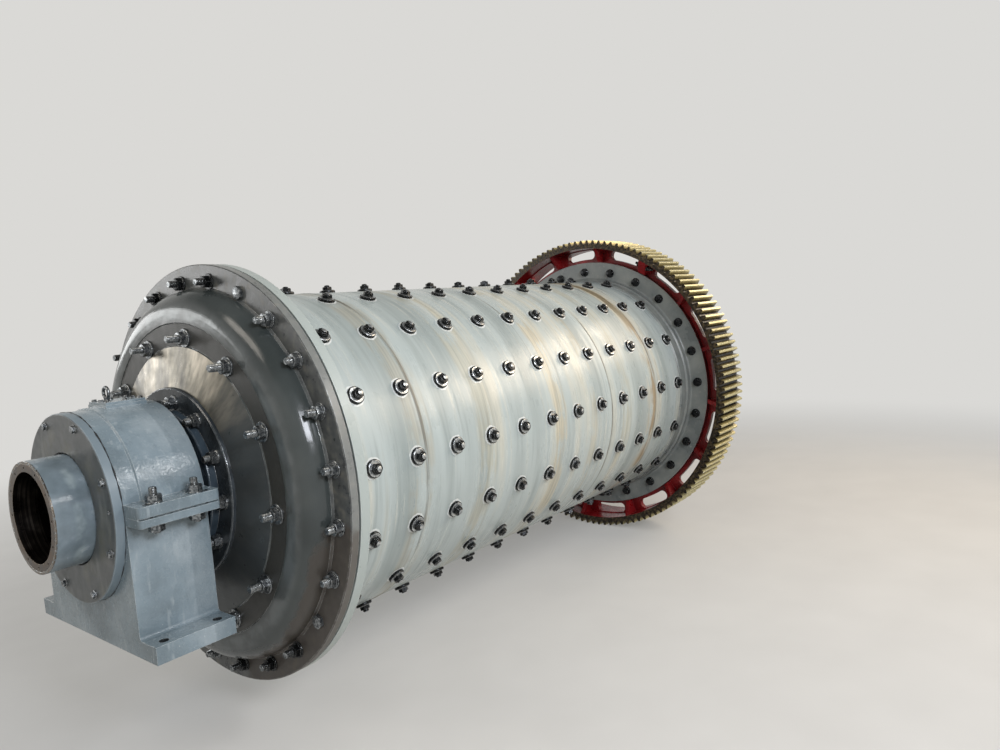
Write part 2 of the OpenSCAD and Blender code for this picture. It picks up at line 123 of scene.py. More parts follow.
def soft_edges(tree, width_mm):
    """The normal of a surface whose edges are broken to a width, and how near an edge is."""
    eased = add(tree, "Bevel", {"Radius": width_mm / 1000}, samples=4)
    flat = add(tree, "NewGeometry", out="Normal")
    same = add(tree, "VectorMath", {0: eased, 1: flat}, "Value", operation="DOT_PRODUCT")
    return eased, add(tree, "MapRange", {0: same, 1: 0.995, 2: 0.90})


def brushed_over(tree, colour, pattern, start, end, share, code):
    """The colour with another over a share of it, where the pattern runs from start to end."""
    cover = add(tree, "MapRange", {0: pattern, 1: start, 2: end, 4: share}, **SOFT)
    return add(tree, "Mix", {0: cover, 6: colour, 7: code}, **TINT)


def rubbed_edges(tree, colour, point, edge, size_mm, start, end, share, code):
    """The colour with its edges rubbed in patches of a size, and how far each spot is rubbed."""
    rub = add(tree, "TexNoise", {0: point, "Scale": 1000 / size_mm})
    rub = add(tree, "MapRange", {0: rub, 1: start, 2: end, 4: share}, **SOFT)
    rub = add(tree, "Math", {0: rub, 1: edge}, **TIMES)
    return add(tree, "Mix", {0: rub, 6: colour, 7: code}, **TINT), rub


def uneven(tree, place, size_mm, strength, depth_mm, normal, detail=2.0):
    """The normal of a surface with bumps of a size on it."""
    bumps = add(tree, "TexNoise", {0: place, "Scale": 1000 / size_mm, "Detail": detail})
    return add(tree, "Bump", {"Height": bumps, "Strength": strength,
                              "Distance": depth_mm / 1000, "Normal": normal})


def finished(material, colour, roughness, normal, metallic=0.0, specular=0.5):
    """The material, with its surface made of these."""
    tree = material.node_tree
    surface = add(tree, "BsdfPrincipled", {"Base Color": colour, "Roughness": roughness, "Normal": normal,
                                           "Metallic": metallic, "Specular IOR Level": specular})
    add(tree, "OutputMaterial", {"Surface": surface})
    return material


def bearing_enamel():
    """Alkyd enamel brushed on rough cast iron: slate grey and glossy, with flecks, pale edges that are
    partly wear and partly a painted highlight, and painted shade in the foot holes.
    """
    material, tree = new_material("bearing enamel")
    point, height, radius = mill_place(tree)
    eased, edge = soft_edges(tree, 3.0)
    cloud = add(tree, "TexNoise", {0: point, "Scale": 1000 / 240, "Detail": 3.0})
    colour = add(tree, "ValToRGB", {0: cloud},
                 stops=((0.36, "#6E7B81"), (0.50, "#7F8D94"), (0.66, "#96A1A6")))
    strokes = add(tree, "Mapping", {0: point, 3: (1.0, 1.0, 0.25)})
    stroke = add(tree, "TexNoise", {0: strokes, "Scale": 1000 / 26, "Detail": 3.0})
    colour = brushed_over(tree, colour, stroke, 0.55, 0.75, 0.30, "#67737A")
    colour = brushed_over(tree, colour, stroke, 0.42, 0.30, 0.45, "#A3ACAF")
    inner = add(tree, "MapRange", {0: height, 1: CAP_BAND + 0.004, 2: CAP_BAND - 0.004, 4: 0.30}, **SOFT)
    on_cap = add(tree, "MapRange", {0: radius, 1: CAP_RADIUS - 0.0035, 2: CAP_RADIUS + 0.0035}, **SOFT)
    inner = add(tree, "Math", {0: inner, 1: on_cap}, **TIMES)
    colour = add(tree, "Mix", {0: inner, 6: colour, 7: "#5A686F"}, **TINT)
    upright = add(tree, "Mapping", {0: point, 3: (1.0, 1.0, 0.6)})
    fleck = add(tree, "TexNoise", {0: upright, "Scale": 1000 / 9, "Detail": 3.0})
    colour = brushed_over(tree, colour, fleck, 0.725, 0.745, 0.45, "#D8DCDA")
    # Edges painted pale in patches: partly wear, partly a painted highlight along them.
    colour = rubbed_edges(tree, colour, point, edge, 14, 0.32, 0.50, 0.85, "#C8CFCF")[0]
    gloss = add(tree, "TexNoise", {0: point, "Scale": 1000 / 24, "Detail": 3.0})
    gloss = add(tree, "MapRange", {0: gloss, 1: 0.3, 2: 0.7, 3: 0.12, 4: 0.34})
    # Painted shade: the walls of the foot holes are painted near black.
    off_x = add(tree, "Math", {0: height, 1: MID_LENGTH - HALF_DRUM}, **LESS)
    off_x = add(tree, "Math", {0: add(tree, "Math", {0: off_x}, **DISTANCE), 1: HOLE_OFF_X}, **LESS)
    off_y = add(tree, "Math", {0: add(tree, "SeparateXYZ", {0: point}, 1)}, **DISTANCE)
    off_y = add(tree, "Math", {0: off_y, 1: HOLE_OFF_Y}, **LESS)
    from_hole = add(tree, "CombineXYZ", {0: off_x, 1: off_y})
    from_hole = add(tree, "VectorMath", {0: from_hole}, **LENGTH)
    colour = brushed_over(tree, colour, from_hole, HOLE_RADIUS + 0.0015, HOLE_RADIUS, 0.92, "#1C1B19")
    cast = uneven(tree, point, 9, 0.50, 2.2, eased, 3.0)
    wave = uneven(tree, point, 75, 0.40, 5.0, cast)
    return finished(material, colour, gloss, wave)


def coat(material, *pieces):
    """Gives CAD pieces their one material."""
    for piece in pieces:
        nodes[piece].data.materials.clear()
        nodes[piece].data.materials.append(material)


bearing_paint = bearing_enamel()
for end in ("feed", "discharge"):
    coat(bearing_paint, f"{end}_bearing_base", f"{end}_bearing_cap", f"{end}_lid")

# Threaded fasteners of the bearings. The cap is held by four studs with hex
# nuts, the end cover by eight small hex screws and the lid by eight more.
# They are zinc plated steel, dulled by handling.

PITCH = 0.0035
THREAD_DEPTH = PITCH * 0.55
HEAD_FACE = {"feed": 0.404, "discharge": 3.696}
OUTWARD = {"feed": -1.0, "discharge": 1.0}
BEARING_START, BEARING_END, COVER_END = 0.250, 0.558, 0.593
STUD_PITCH, STUD_ACROSS, STUD_RADIUS, EAR_TOP, EAR_UNDER = 0.154, 0.430, 0.0150, 0.04315, -0.03115
COVER_BOLT_RADIUS, LID_BOLT_INSET = 0.335, 0.014


def plated_steel(name, film_code, clean_code):
    """Zinc plated steel: a satin metal with a dark film in patches and bright worn corners."""
    material, tree = new_material(name)
    point = add(tree, "TexCoord", out="Object")
    eased, edge = soft_edges(tree, 0.8)
    film = add(tree, "TexNoise", {0: point, "Scale": 1000 / 9, "Detail": 2.0})
    colour = add(tree, "ValToRGB", {0: film}, stops=((0.40, film_code), (0.62, clean_code)))
    colour = add(tree, "Mix", {0: edge, 6: colour, 7: "#DEDFDD"}, **TINT)
    dull = add(tree, "MapRange", {0: film, 1: 0.35, 2: 0.65, 3: 0.42, 4: 0.24})
    return finished(material, colour, dull, eased, 0.9)


def turned_part(profile, sides=24):
    """Faces of a profile of (radius, height) pairs turned about Z; a radius of 0 closes an end."""
    verts, faces = [], []
    for r, h in profile:
        for i in range(sides):
            a = math.tau * i / sides
            verts.append((r * math.cos(a), r * math.sin(a), h))
    for row in range(len(profile) - 1):
        for i in range(sides):
            j = (i + 1) % sides
            faces.append((row * sides + i, row * sides + j, (row + 1) * sides + j, (row + 1) * sides + i))
    return verts, faces


def washer_part(outer, inner, thick, sides=32):
    """Flat washer with a small chamfer."""
    edge = thick * 0.2
    return turned_part([(inner, 0.0), (outer, 0.0), (outer, thick - edge),
                        (outer - edge, thick), (inner, thick)], sides)


def hex_part(across, low, high, bore):
    """Hexagon from low to high with its corners turned off by a cone at the free end."""
    sides = 36
    flat = across / 2
    loops = []
    for level in ("bottom", "shoulder", "top", "bore"):
        ring = []
        for i in range(sides):
            a = math.tau * i / sides
            off = (a + math.pi / 6) % (math.pi / 3) - math.pi / 6
            corner = flat / math.cos(off)
            drop = max(corner - flat * 0.985, 0.0) * 0.58
            r, h = {"bottom": (corner, low), "shoulder": (corner, high - drop),
                    "top": (flat * 0.97, high), "bore": (bore, high)}[level]
            ring.append((r * math.cos(a), r * math.sin(a), h))
        loops.append(ring)
    verts = [v for ring in loops for v in ring]
    faces = []
    for row in range(3):
        for i in range(sides):
            j = (i + 1) % sides
            faces.append((row * sides + i, row * sides + j, (row + 1) * sides + j, (row + 1) * sides + i))
    return verts, faces


def thread_part(radius, low, high):
    """Stud with a real helical thread that runs out at both ends, and a chamfered point."""
    sides = 14
    top = high - PITCH * 0.8
    turns = int((high - low) / PITCH) + 2
    verts, faces = [], []
    for half in range(2 * turns + 1):
        r = radius if half % 2 == 0 else radius - THREAD_DEPTH
        for i in range(sides):
            h = low - PITCH + (half / 2 + i / sides) * PITCH
            a = math.tau * i / sides
            near = radius - THREAD_DEPTH if h > top or h < low else r
            verts.append((near * math.cos(a), near * math.sin(a), min(max(h, low), top)))
    last = 2 * turns + 1
    for half in range(last - 1):
        for i in range(sides):
            if i < sides - 1:
                faces.append((half * sides + i, half * sides + i + 1,
                              (half + 1) * sides + i + 1, (half + 1) * sides + i))
            elif half + 3 < last:
                faces.append((half * sides + i, (half + 2) * sides,
                              (half + 3) * sides, (half + 1) * sides + i))
    return verts, faces


def point_part(radius, high):
    """Turned end of a stud."""
    core = radius - THREAD_DEPTH
    return turned_part([(core, high - PITCH), (core, high - 0.3 * THREAD_DEPTH),
                        (core - 0.3 * THREAD_DEPTH, high), (0.0, high)])


def set_on(point, out, spin=0.0):
    """Matrix that stands a part on a point, with its Z along out."""
    turn = Vector(out).to_track_quat("Z", "Y").to_matrix().to_4x4()
    return Matrix.Translation(point) @ turn @ Matrix.Rotation(spin, 4, "Z")


def build(name, body, materials, parts):
    """One object from (part, matrix, material number) triples, riding on its body."""
    verts, faces, numbers = [], [], []
    for (part_verts, part_faces), matrix, number in parts:
        first = len(verts)
        verts += [matrix @ Vector(v) for v in part_verts]
        faces += [tuple(first + i for i in face) for face in part_faces]
        numbers += [number] * len(part_faces)
    mesh = bpy.data.meshes.new(name)
    mesh.from_pydata(verts, [], faces)
    mesh.validate()
    for face, number in zip(mesh.polygons, numbers):
        face.material_index = number
    mesh.shade_smooth()
    mesh.set_sharp_from_angle(angle=math.radians(32))
    for material in materials:
        mesh.materials.append(material)
    piece = bpy.data.objects.new(name, mesh)
    bpy.context.scene.collection.objects.link(piece)
    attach(piece, body)


def on_end(end, out, radius, degrees):
    """Point at a height out of a head flange, at an angle above the level on the near side."""
    a = math.radians(degrees)
    return Vector((HEAD_FACE[end] + OUTWARD[end] * out,
                   -radius * math.cos(a), AXIS_HEIGHT + radius * math.sin(a)))


zinc = plated_steel("zinc plated steel", "#4C5053", "#9B9E9F")
for end in ("feed", "discharge"):
    wrench = random.Random(7 if end == "feed" else 8)
    along = Vector((OUTWARD[end], 0, 0))
    parts = []
    for side in (-1, 1):
        for step in (-0.5, 0.5):
            x = on_end(end, (BEARING_START + BEARING_END) / 2, 0, 0).x + step * STUD_PITCH
            spin = wrench.uniform(0, math.tau)
            top = set_on((x, side * STUD_ACROSS, AXIS_HEIGHT + EAR_TOP), (0, 0, 1), spin)
            parts += [
                (washer_part(0.029, 0.0155, 0.004), top, 0),
                (hex_part(0.050, 0.004, 0.029, 0.012), top, 0),
                (thread_part(STUD_RADIUS, 0.029, 0.054), top, 0),
                (point_part(STUD_RADIUS, 0.055), top, 0),
            ]
            under = set_on((x, side * STUD_ACROSS, AXIS_HEIGHT + EAR_UNDER), (0, 0, -1), -spin)
            parts += [
                (washer_part(0.029, 0.0155, 0.004), under, 0),
                (hex_part(0.050, 0.004, 0.029, 0.012), under, 0),
                (point_part(STUD_RADIUS, 0.036), under, 0),
            ]
    build(f"{end}_cap_studs", "bearings", [zinc], parts)
    parts = []
    for k in range(8):
        spot = on_end(end, COVER_END, COVER_BOLT_RADIUS, 22.5 + 45 * k)
        spot = set_on(spot, along, wrench.uniform(0, math.tau))
        parts += [(washer_part(0.0165, 0.008, 0.0025), spot, 0),
                  (hex_part(0.024, 0.0025, 0.0125, 0.0), spot, 0)]
    spot = set_on(on_end(end, COVER_END, COVER_BOLT_RADIUS - 0.002, 4), along)
    parts += [(turned_part([(0.0075, 0), (0.0075, 0.003), (0.0055, 0.006), (0.0, 0.0065)], 16), spot, 0)]
    build(f"{end}_cover_screws", "bearings", [zinc], parts)
    parts = []
    lid_low, lid_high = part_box(f"{end}_lid")
    for i in range(8):
        u = (-1, 0, 1, 1, 1, 0, -1, -1)[i]
        v = (-1, -1, -1, 0, 1, 1, 1, 0)[i]
        x = (lid_low.x + lid_high.x) / 2 + u * ((lid_high.x - lid_low.x) / 2 - LID_BOLT_INSET)
        y = v * (lid_high.y - LID_BOLT_INSET)
        spot = set_on((x, y, lid_high.z), (0, 0, 1), wrench.uniform(0, math.tau))
        parts += [(washer_part(0.0110, 0.0055, 0.0018, sides=20), spot, 0),
                  (hex_part(0.0165, 0.0018, 0.0085, 0.0), spot, 0)]
    build(f"{end}_lid_screws", "bearings", [zinc], parts)
    coat(zinc, f"{end}_lifting_eye")

# End covers. A turned steel plate closes each bearing. Its face has a thin
# taupe primer over the turning marks, its rim has the housing's enamel, and
# dark jointing paste was squeezed out behind it and round the tube. Its black
# also paints the shade in these gaps.

COVER_RADIUS, COVER_BORE = 0.3606, 0.2168


def cover_coat():
    """Thin grey-brown primer on a turned face, enamel on the rim. Tool marks are drawn 2.2 mm apart."""
    material, tree = new_material("cover primer")
    point, height, radius = mill_place(tree)
    eased, edge = soft_edges(tree, 2.0)
    cloud = add(tree, "TexNoise", {0: point, "Scale": 1000 / 120, "Detail": 3.0})
    colour = add(tree, "ValToRGB", {0: cloud},
                 stops=((0.35, "#474B4B"), (0.55, "#565959"), (0.70, "#66675F")))
    upright = add(tree, "Mapping", {0: point, 3: (1.0, 1.0, 0.25)})
    pale_streaks = add(tree, "TexNoise", {0: upright, "Scale": 1000 / 55})
    colour = brushed_over(tree, colour, pale_streaks, 0.58, 0.75, 0.45, "#83867F")
    colour = brushed_over(tree, colour, radius, COVER_RADIUS - 0.0006, COVER_RADIUS + 0.0006,
                          1.0, "#77848B")
    worn = add(tree, "Math", {0: edge, 1: 0.55}, **TIMES)
    colour = add(tree, "Mix", {0: worn, 6: colour, 7: "#C2C8C8"}, **TINT)
    dull = add(tree, "TexNoise", {0: point, "Scale": 1000 / 30})
    dull = add(tree, "MapRange", {0: dull, 1: 0.3, 2: 0.7, 3: 0.28, 4: 0.50})
    along = add(tree, "CombineXYZ", {0: radius, 1: height})
    turned = uneven(tree, along, 2.2, 0.14, 1.0, eased)
    return finished(material, colour, dull, turned)


def jointing_paste():
    """Black jointing paste, dried to a lumpy skin. Its black also stands for the shade in the gaps it
    fills.
    """
    material, tree = new_material("jointing paste")
    point = add(tree, "TexCoord", out="Object")
    lumps = add(tree, "TexNoise", {0: point, "Scale": 1000 / 6})
    colour = add(tree, "ValToRGB", {0: lumps}, stops=((0.3, "#121416"), (0.7, "#292B2C")))
    bump = add(tree, "Bump", {"Height": lumps, "Strength": 0.6, "Distance": 0.002})
    return finished(material, colour, 0.55, bump)


def ragged_bead(out, radius, fat, seed, sides=300):
    """Bead of paste round a joint, thicker in some places than in others."""
    chance = random.Random(seed)
    waves = [(chance.randint(3, 60), chance.uniform(0, math.tau), chance.uniform(0.3, 1.0))
             for _ in range(14)]
    verts, faces = [], []
    for i in range(sides):
        a = math.tau * i / sides
        swell = fat * (1 + 0.16 * sum(w * math.sin(n * a + p) for n, p, w in waves))
        swell = max(swell, 0.25 * fat)
        for k in range(8):
            b = math.tau * k / 8
            r = radius + swell * math.cos(b)
            verts.append((r * math.cos(a), r * math.sin(a), out + 0.7 * swell * math.sin(b)))
    for i in range(sides):
        for k in range(8):
            j, m = (i + 1) % sides, (k + 1) % 8
            faces.append((i * 8 + k, j * 8 + k, j * 8 + m, i * 8 + m))
    return verts, faces


cover_paint, paste = cover_coat(), jointing_paste()
for end in ("feed", "discharge"):
    coat(cover_paint, f"{end}_end_cover")
    face = set_on((HEAD_FACE[end], 0, AXIS_HEIGHT), (OUTWARD[end], 0, 0))
    seed = 21 if end == "feed" else 22
    # Black beads behind the cover and round the tube: paste, and painted shade of those gaps.
    build(f"{end}_joint_paste", "bearings", [paste], [
        (ragged_bead(BEARING_END - 0.0005, COVER_RADIUS + 0.0019, 0.0030, seed), face, 0),
        (ragged_bead(COVER_END - 0.0040, COVER_BORE, 0.0042, seed + 5), face, 0),
    ])

# Bushes and oil seals. The bush is turned bronze and the seal is an oiled
# steel ring. Both lie inside the housing and show only through its gaps.


def turned_metal(name, dark, light, rough):
    """Oiled metal from the lathe. Its tool marks are 0.5 mm apart, drawn 3 mm apart to show."""
    material, tree = new_material(name)
    point, height, radius = mill_place(tree)
    film = add(tree, "TexNoise", {0: point, "Scale": 1000 / 90})
    colour = add(tree, "ValToRGB", {0: film}, stops=((0.35, dark), (0.70, light)))
    along = add(tree, "CombineXYZ", {0: radius, 1: height})
    marks = add(tree, "TexNoise", {0: along, "Scale": 1000 / 3})
    marks = add(tree, "Bump", {"Height": marks, "Strength": 0.12, "Distance": 0.001})
    return finished(material, colour, rough, marks, 1.0)


bronze = turned_metal("bearing bronze", "#7E6434", "#C3A05A", 0.35)
seal_steel = turned_metal("oiled seal steel", "#2E2F31", "#5A5C5E", 0.40)
coat(bronze, "feed_bush", "discharge_bush")
coat(seal_steel, "feed_oil_seal", "discharge_oil_seal")

# Trunnions. Each is one steel casting: a flange and a hub in dark grey enamel,
# a ground journal inside the bearing, and a tube in the bearing's blue-grey
# with a bare end and a painted highlight as a pale band round its middle.
# The flange's rim was rubbed bright when it was fitted.

FLANGE_FACE, JOURNAL_START, TUBE_START, TUBE_HIGHLIGHT_BAND, TUBE_END = 0.165, 0.2185, 0.543, 0.640, 0.7225
LARGER = {"operation": "MAXIMUM"}


def between(tree, measure, start, full, fading, end, share=1.0):
    """How far a measure lies in a band: 0 up to start, the share from full to fading, and 0 past end."""
    rise = add(tree, "MapRange", {0: measure, 1: start, 2: full, 4: share}, **SOFT)
    fall = add(tree, "MapRange", {0: measure, 1: end, 2: fading}, **SOFT)
    return add(tree, "Math", {0: rise, 1: fall}, **TIMES)


def trunnion_coat():
    """Enamel, near black on the flange and hub and slate on the tube, with a bare ground journal and a
    painted highlight as a pale band round the tube.
    """
    material, tree = new_material("trunnion enamel")
    point, height = mill_place(tree)[:2]
    eased, edge = soft_edges(tree, 2.5)
    mottle = add(tree, "TexNoise", {0: point, "Scale": 1000 / 70, "Detail": 3.0})
    flange = add(tree, "ValToRGB", {0: mottle}, stops=((0.3, "#272B2E"), (0.7, "#3D4347")))
    hub = add(tree, "ValToRGB", {0: mottle}, stops=((0.3, "#29323A"), (0.7, "#414D56")))
    tube = add(tree, "ValToRGB", {0: mottle}, stops=((0.3, "#68747A"), (0.55, "#76838A"), (0.7, "#87939A")))
    on_hub = add(tree, "MapRange", {0: height, 1: FLANGE_FACE + 0.0005, 2: FLANGE_FACE + 0.0030}, **SOFT)
    colour = add(tree, "Mix", {0: on_hub, 6: flange, 7: hub}, **TINT)
    past_neck = add(tree, "MapRange", {0: height, 1: JOURNAL_START - 0.0035,
                                       2: JOURNAL_START + 0.0035}, **SOFT)
    on_tube = add(tree, "MapRange", {0: height, 1: TUBE_START - 0.002, 2: TUBE_START + 0.002}, **SOFT)
    colour = add(tree, "Mix", {0: past_neck, 6: colour, 7: "#8E8C87"}, **TINT)
    colour = add(tree, "Mix", {0: on_tube, 6: colour, 7: tube}, **TINT)
    ground = add(tree, "Math", {0: past_neck, 1: on_tube}, **LESS)
    # Painted highlight: a pale patchy band round the middle of the tube.
    pale_streaks = between(tree, height, TUBE_HIGHLIGHT_BAND - 0.025, TUBE_HIGHLIGHT_BAND - 0.005,
                    TUBE_HIGHLIGHT_BAND + 0.005, TUBE_HIGHLIGHT_BAND + 0.025, 0.30)
    patchy = add(tree, "MapRange", {0: mottle, 1: 0.40, 2: 0.60}, **SOFT)
    pale_streaks = add(tree, "Math", {0: pale_streaks, 1: patchy}, **TIMES)
    colour = add(tree, "Mix", {0: pale_streaks, 6: colour, 7: "#B4C0BD"}, **TINT)
    chipped = add(tree, "TexNoise", {0: point, "Scale": 1000 / 10})
    chipped = add(tree, "MapRange", {0: chipped, 1: 0.30, 2: 0.50}, **SOFT)
    lip = add(tree, "MapRange", {0: height, 1: TUBE_END - 0.0035, 2: TUBE_END}, **SOFT)
    bare = add(tree, "Math", {0: chipped, 1: lip}, **TIMES)
    colour = add(tree, "Mix", {0: bare, 6: colour, 7: "#6A5E50"}, **TINT)
    colour, bright = rubbed_edges(tree, colour, point, edge, 22, 0.35, 0.55, 0.9, "#CBCECF")
    metal = add(tree, "Math", {0: add(tree, "Math", {0: ground, 1: bare}, **LARGER), 1: bright}, **LARGER)
    gloss = add(tree, "MapRange", {0: mottle, 1: 0.3, 2: 0.7, 3: 0.13, 4: 0.30})
    cast = uneven(tree, point, 16, 0.28, 2.0, eased, 3.0)
    return finished(material, colour, gloss, cast, metal)


def bore_liner_steel():
    """Bare turned steel, brown with old oil and rust, its inside painted near black, partly as painted
    shade deep in the bore. Its tool marks are drawn 4 and 6 mm wide to show.
    """
    material, tree = new_material("bore liner steel")
    point, height, radius = mill_place(tree)
    eased, edge = soft_edges(tree, 1.2)
    stain = add(tree, "TexNoise", {0: point, "Scale": 1000 / 60, "Detail": 4.0})
    rings = add(tree, "CombineXYZ", {0: height, 1: radius})
    feed_marks = add(tree, "TexNoise", {0: rings, "Scale": 1000 / 6, "Detail": 3.0})
    lines = add(tree, "Mix", {0: 0.6, 6: stain, 7: feed_marks}, **TINT)
    # The inside is painted near black: old oil, and partly painted shade deep in the bore.
    inside = add(tree, "ValToRGB", {0: lines},
                 stops=((0.36, "#191614"), (0.52, "#2B2623"), (0.66, "#565049")))
    ring = add(tree, "ValToRGB", {0: stain}, stops=((0.35, "#33291F"), (0.65, "#645548")))
    on_ring = add(tree, "MapRange", {0: height, 1: TUBE_END, 2: TUBE_END + 0.0015}, **SOFT)
    colour = add(tree, "Mix", {0: on_ring, 6: inside, 7: ring}, **TINT)
    worn = add(tree, "Math", {0: edge, 1: 0.8}, **TIMES)
    colour = add(tree, "Mix", {0: worn, 6: colour, 7: "#C2B7A4"}, **TINT)
    rough = add(tree, "MapRange", {0: stain, 1: 0.35, 2: 0.65, 3: 0.24, 4: 0.44})
    along = add(tree, "CombineXYZ", {0: radius, 1: height})
    turned = uneven(tree, along, 4, 0.15, 1.0, eased)
    return finished(material, colour, rough, turned, 0.85)


coat(trunnion_coat(), "feed_trunnion", "discharge_trunnion")
coat(bore_liner_steel(), "feed_bore_liner", "discharge_bore_liner")

# Heads. Each is a dished steel casting in dark grey enamel. The lathe left the flat
# ring, the cone inside it and the flange's rim bare, and handling has polished the
# cone and rubbed the crest of the shoulder. The crest's lighter colour is partly a
# painted highlight; the cone has painted sheen in broad sectors and a painted dark
# reflection low on its near side; the joint behind the flange is painted shade.

CONE_EDGE, RING_EDGE, CREST_EDGE, DOME_EDGE, FLANGE_EDGE = 0.573, 0.670, 0.760, 0.808, 0.910
CASTING_FRONT, FLANGE_BACK = 0.055, -0.0375
RUST_START, RUST_FULL = 0.70, 0.86
PLUS = {"operation": "ADD"}


def head_enamel():
    """Semi-gloss dark enamel over cast steel, with bare turned bands, a rubbed shoulder top that is partly
    a painted highlight, painted sheen and a painted dark reflection on the cone, painted shade behind the
    flange, and rust low down.
    """
    material, tree = new_material("head enamel")
    point, height, radius = mill_place(tree)
    facing = add(tree, "VectorMath", {0: across_axis(tree, point)}, operation="NORMALIZE")
    eased, edge = soft_edges(tree, 2.5)
    level = add(tree, "SeparateXYZ", {0: facing}, 2)
    side = add(tree, "SeparateXYZ", {0: facing}, 1)
    cloud = add(tree, "TexNoise", {0: point, "Scale": 1000 / 300, "Detail": 3.0})
    fine = add(tree, "TexNoise", {0: point, "Scale": 1000 / 40, "Detail": 3.0})
    dome = add(tree, "ValToRGB", {0: cloud},
               stops=((0.35, "#373C3B"), (0.52, "#404544"), (0.68, "#4B4F4D")))
    patches = add(tree, "TexNoise", {0: point, "Scale": 1000 / 65, "Detail": 4.0})
    # Painted highlight, partly: the crest of the shoulder is painted lighter where it is rubbed.
    crest_wear_and_sheen = between(tree, radius, RING_EDGE + 0.002, RING_EDGE + 0.025, CREST_EDGE - 0.045, CREST_EDGE)
    rubbed = add(tree, "MapRange", {0: patches, 1: 0.38, 2: 0.64, 3: 0.25, 4: 0.65}, **SOFT)
    crest_wear_and_sheen = add(tree, "Math", {0: crest_wear_and_sheen, 1: rubbed}, **TIMES)
    colour = add(tree, "Mix", {0: crest_wear_and_sheen, 6: dome, 7: "#7C8080"}, **TINT)
    flange = add(tree, "ValToRGB", {0: fine},
                 stops=((0.35, "#434545"), (0.55, "#545654"), (0.70, "#68665F")))
    on_flange = add(tree, "MapRange", {0: radius, 1: DOME_EDGE - 0.002, 2: DOME_EDGE + 0.002}, **SOFT)
    colour = add(tree, "Mix", {0: on_flange, 6: colour, 7: flange}, **TINT)
    outward = add(tree, "CombineXYZ", {0: radius})
    grooves = add(tree, "TexNoise", {0: outward, "Scale": 1000 / 3.3, "Detail": 1.0})
    ring = add(tree, "ValToRGB", {0: grooves}, stops=((0.35, "#272826"), (0.65, "#3D3C37")))
    on_ring = between(tree, radius, CONE_EDGE + 0.002, CONE_EDGE + 0.004, RING_EDGE - 0.003, RING_EDGE)
    colour = add(tree, "Mix", {0: on_ring, 6: colour, 7: ring}, **TINT)
    # Painted sheen: the cone's colour is lighter and darker in broad sectors round it.
    cone_sheen_sectors = add(tree, "VectorMath", {0: facing, 1: point}, **PLUS)
    cone_sheen_sectors = add(tree, "TexNoise", {0: cone_sheen_sectors, "Scale": 1000 / 300, "Detail": 4.0, "Roughness": 0.6})
    cone = add(tree, "ValToRGB", {0: cone_sheen_sectors},
               stops=((0.36, "#4D4B46"), (0.50, "#6B675D"), (0.64, "#938C7F")))
    # Painted reflection: the cone is painted darker low on its near side, where it would mirror the dark
    # floor.
    lean = add(tree, "Math", {0: level, 1: add(tree, "Math", {0: side, 1: 0.45}, **TIMES)}, **PLUS)
    low_dark_reflection = add(tree, "Math", {0: lean, 1: add(tree, "Math", {0: cone_sheen_sectors, 1: 0.5}, **TIMES)}, **PLUS)
    low_dark_reflection = add(tree, "MapRange", {0: low_dark_reflection, 1: 0.88, 2: 0.30, 4: 0.92}, **SOFT)
    cone = add(tree, "Mix", {0: low_dark_reflection, 6: cone, 7: "#424749"}, **TINT)
    inside = add(tree, "MapRange", {0: radius, 1: CONE_EDGE, 2: CONE_EDGE - 0.002}, **SOFT)
    in_front = add(tree, "MapRange", {0: height, 1: CASTING_FRONT - 0.005,
                                      2: CASTING_FRONT + 0.005}, **SOFT)
    on_cone = add(tree, "Math", {0: inside, 1: in_front}, **TIMES)
    colour = add(tree, "Mix", {0: on_cone, 6: colour, 7: cone}, **TINT)
    colour = brushed_over(tree, colour, radius, FLANGE_EDGE - 0.0005, FLANGE_EDGE + 0.0005, 0.5, "#8F918D")
    # Painted shade: everything behind the head flange's back face is painted near black.
    colour = brushed_over(tree, colour, height, FLANGE_BACK + 0.001, FLANGE_BACK - 0.001, 1.0, "#141618")
    near_low = add(tree, "Math", {0: level, 1: side}, **PLUS)
    near_low = add(tree, "MapRange", {0: near_low, 1: -0.85, 2: -1.35}, **SOFT)
    outer = add(tree, "MapRange", {0: radius, 1: RUST_START, 2: RUST_FULL}, **SOFT)
    rust = add(tree, "Math", {0: near_low, 1: outer}, **TIMES)
    rust = add(tree, "Math", {0: rust, 1: add(tree, "Math", {0: patches, 1: cloud}, **PLUS)}, **TIMES)
    rust = add(tree, "MapRange", {0: rust, 1: 0.42, 2: 0.56, 4: 0.6}, **SOFT)
    colour = add(tree, "Mix", {0: rust, 6: colour, 7: "#453A30"}, **TINT)
    colour, bright = rubbed_edges(tree, colour, point, edge, 26, 0.35, 0.55, 0.85, "#C6C8C5")
    unshaded_share = add(tree, "Math", {0: 1.0, 1: low_dark_reflection}, **LESS)
    bare = add(tree, "Math", {0: on_cone, 1: add(tree, "MapRange", {0: unshaded_share, 3: 0.35, 4: 0.95})}, **TIMES)
    for region, barer in ((crest_wear_and_sheen, 0.6), (bright, 0.7)):
        barer = add(tree, "Math", {0: region, 1: barer}, **TIMES)
        bare = add(tree, "Math", {0: bare, 1: barer}, **LARGER)
    gloss = add(tree, "MapRange", {0: fine, 1: 0.3, 2: 0.7, 3: 0.11, 4: 0.23})
    for region, duller in ((on_ring, 0.28), (on_cone, 0.16), (on_flange, 0.14), (rust, 0.35)):
        duller = add(tree, "Math", {0: region, 1: duller}, **TIMES)
        gloss = add(tree, "Math", {0: gloss, 1: duller}, **PLUS)
    cut = add(tree, "Math", {0: on_ring, 1: on_cone}, **PLUS)
    lathe = add(tree, "Math", {0: grooves, 1: cut}, **TIMES)
    lathe = add(tree, "Bump", {"Height": lathe, "Strength": 0.35, "Distance": 0.0012, "Normal": eased})
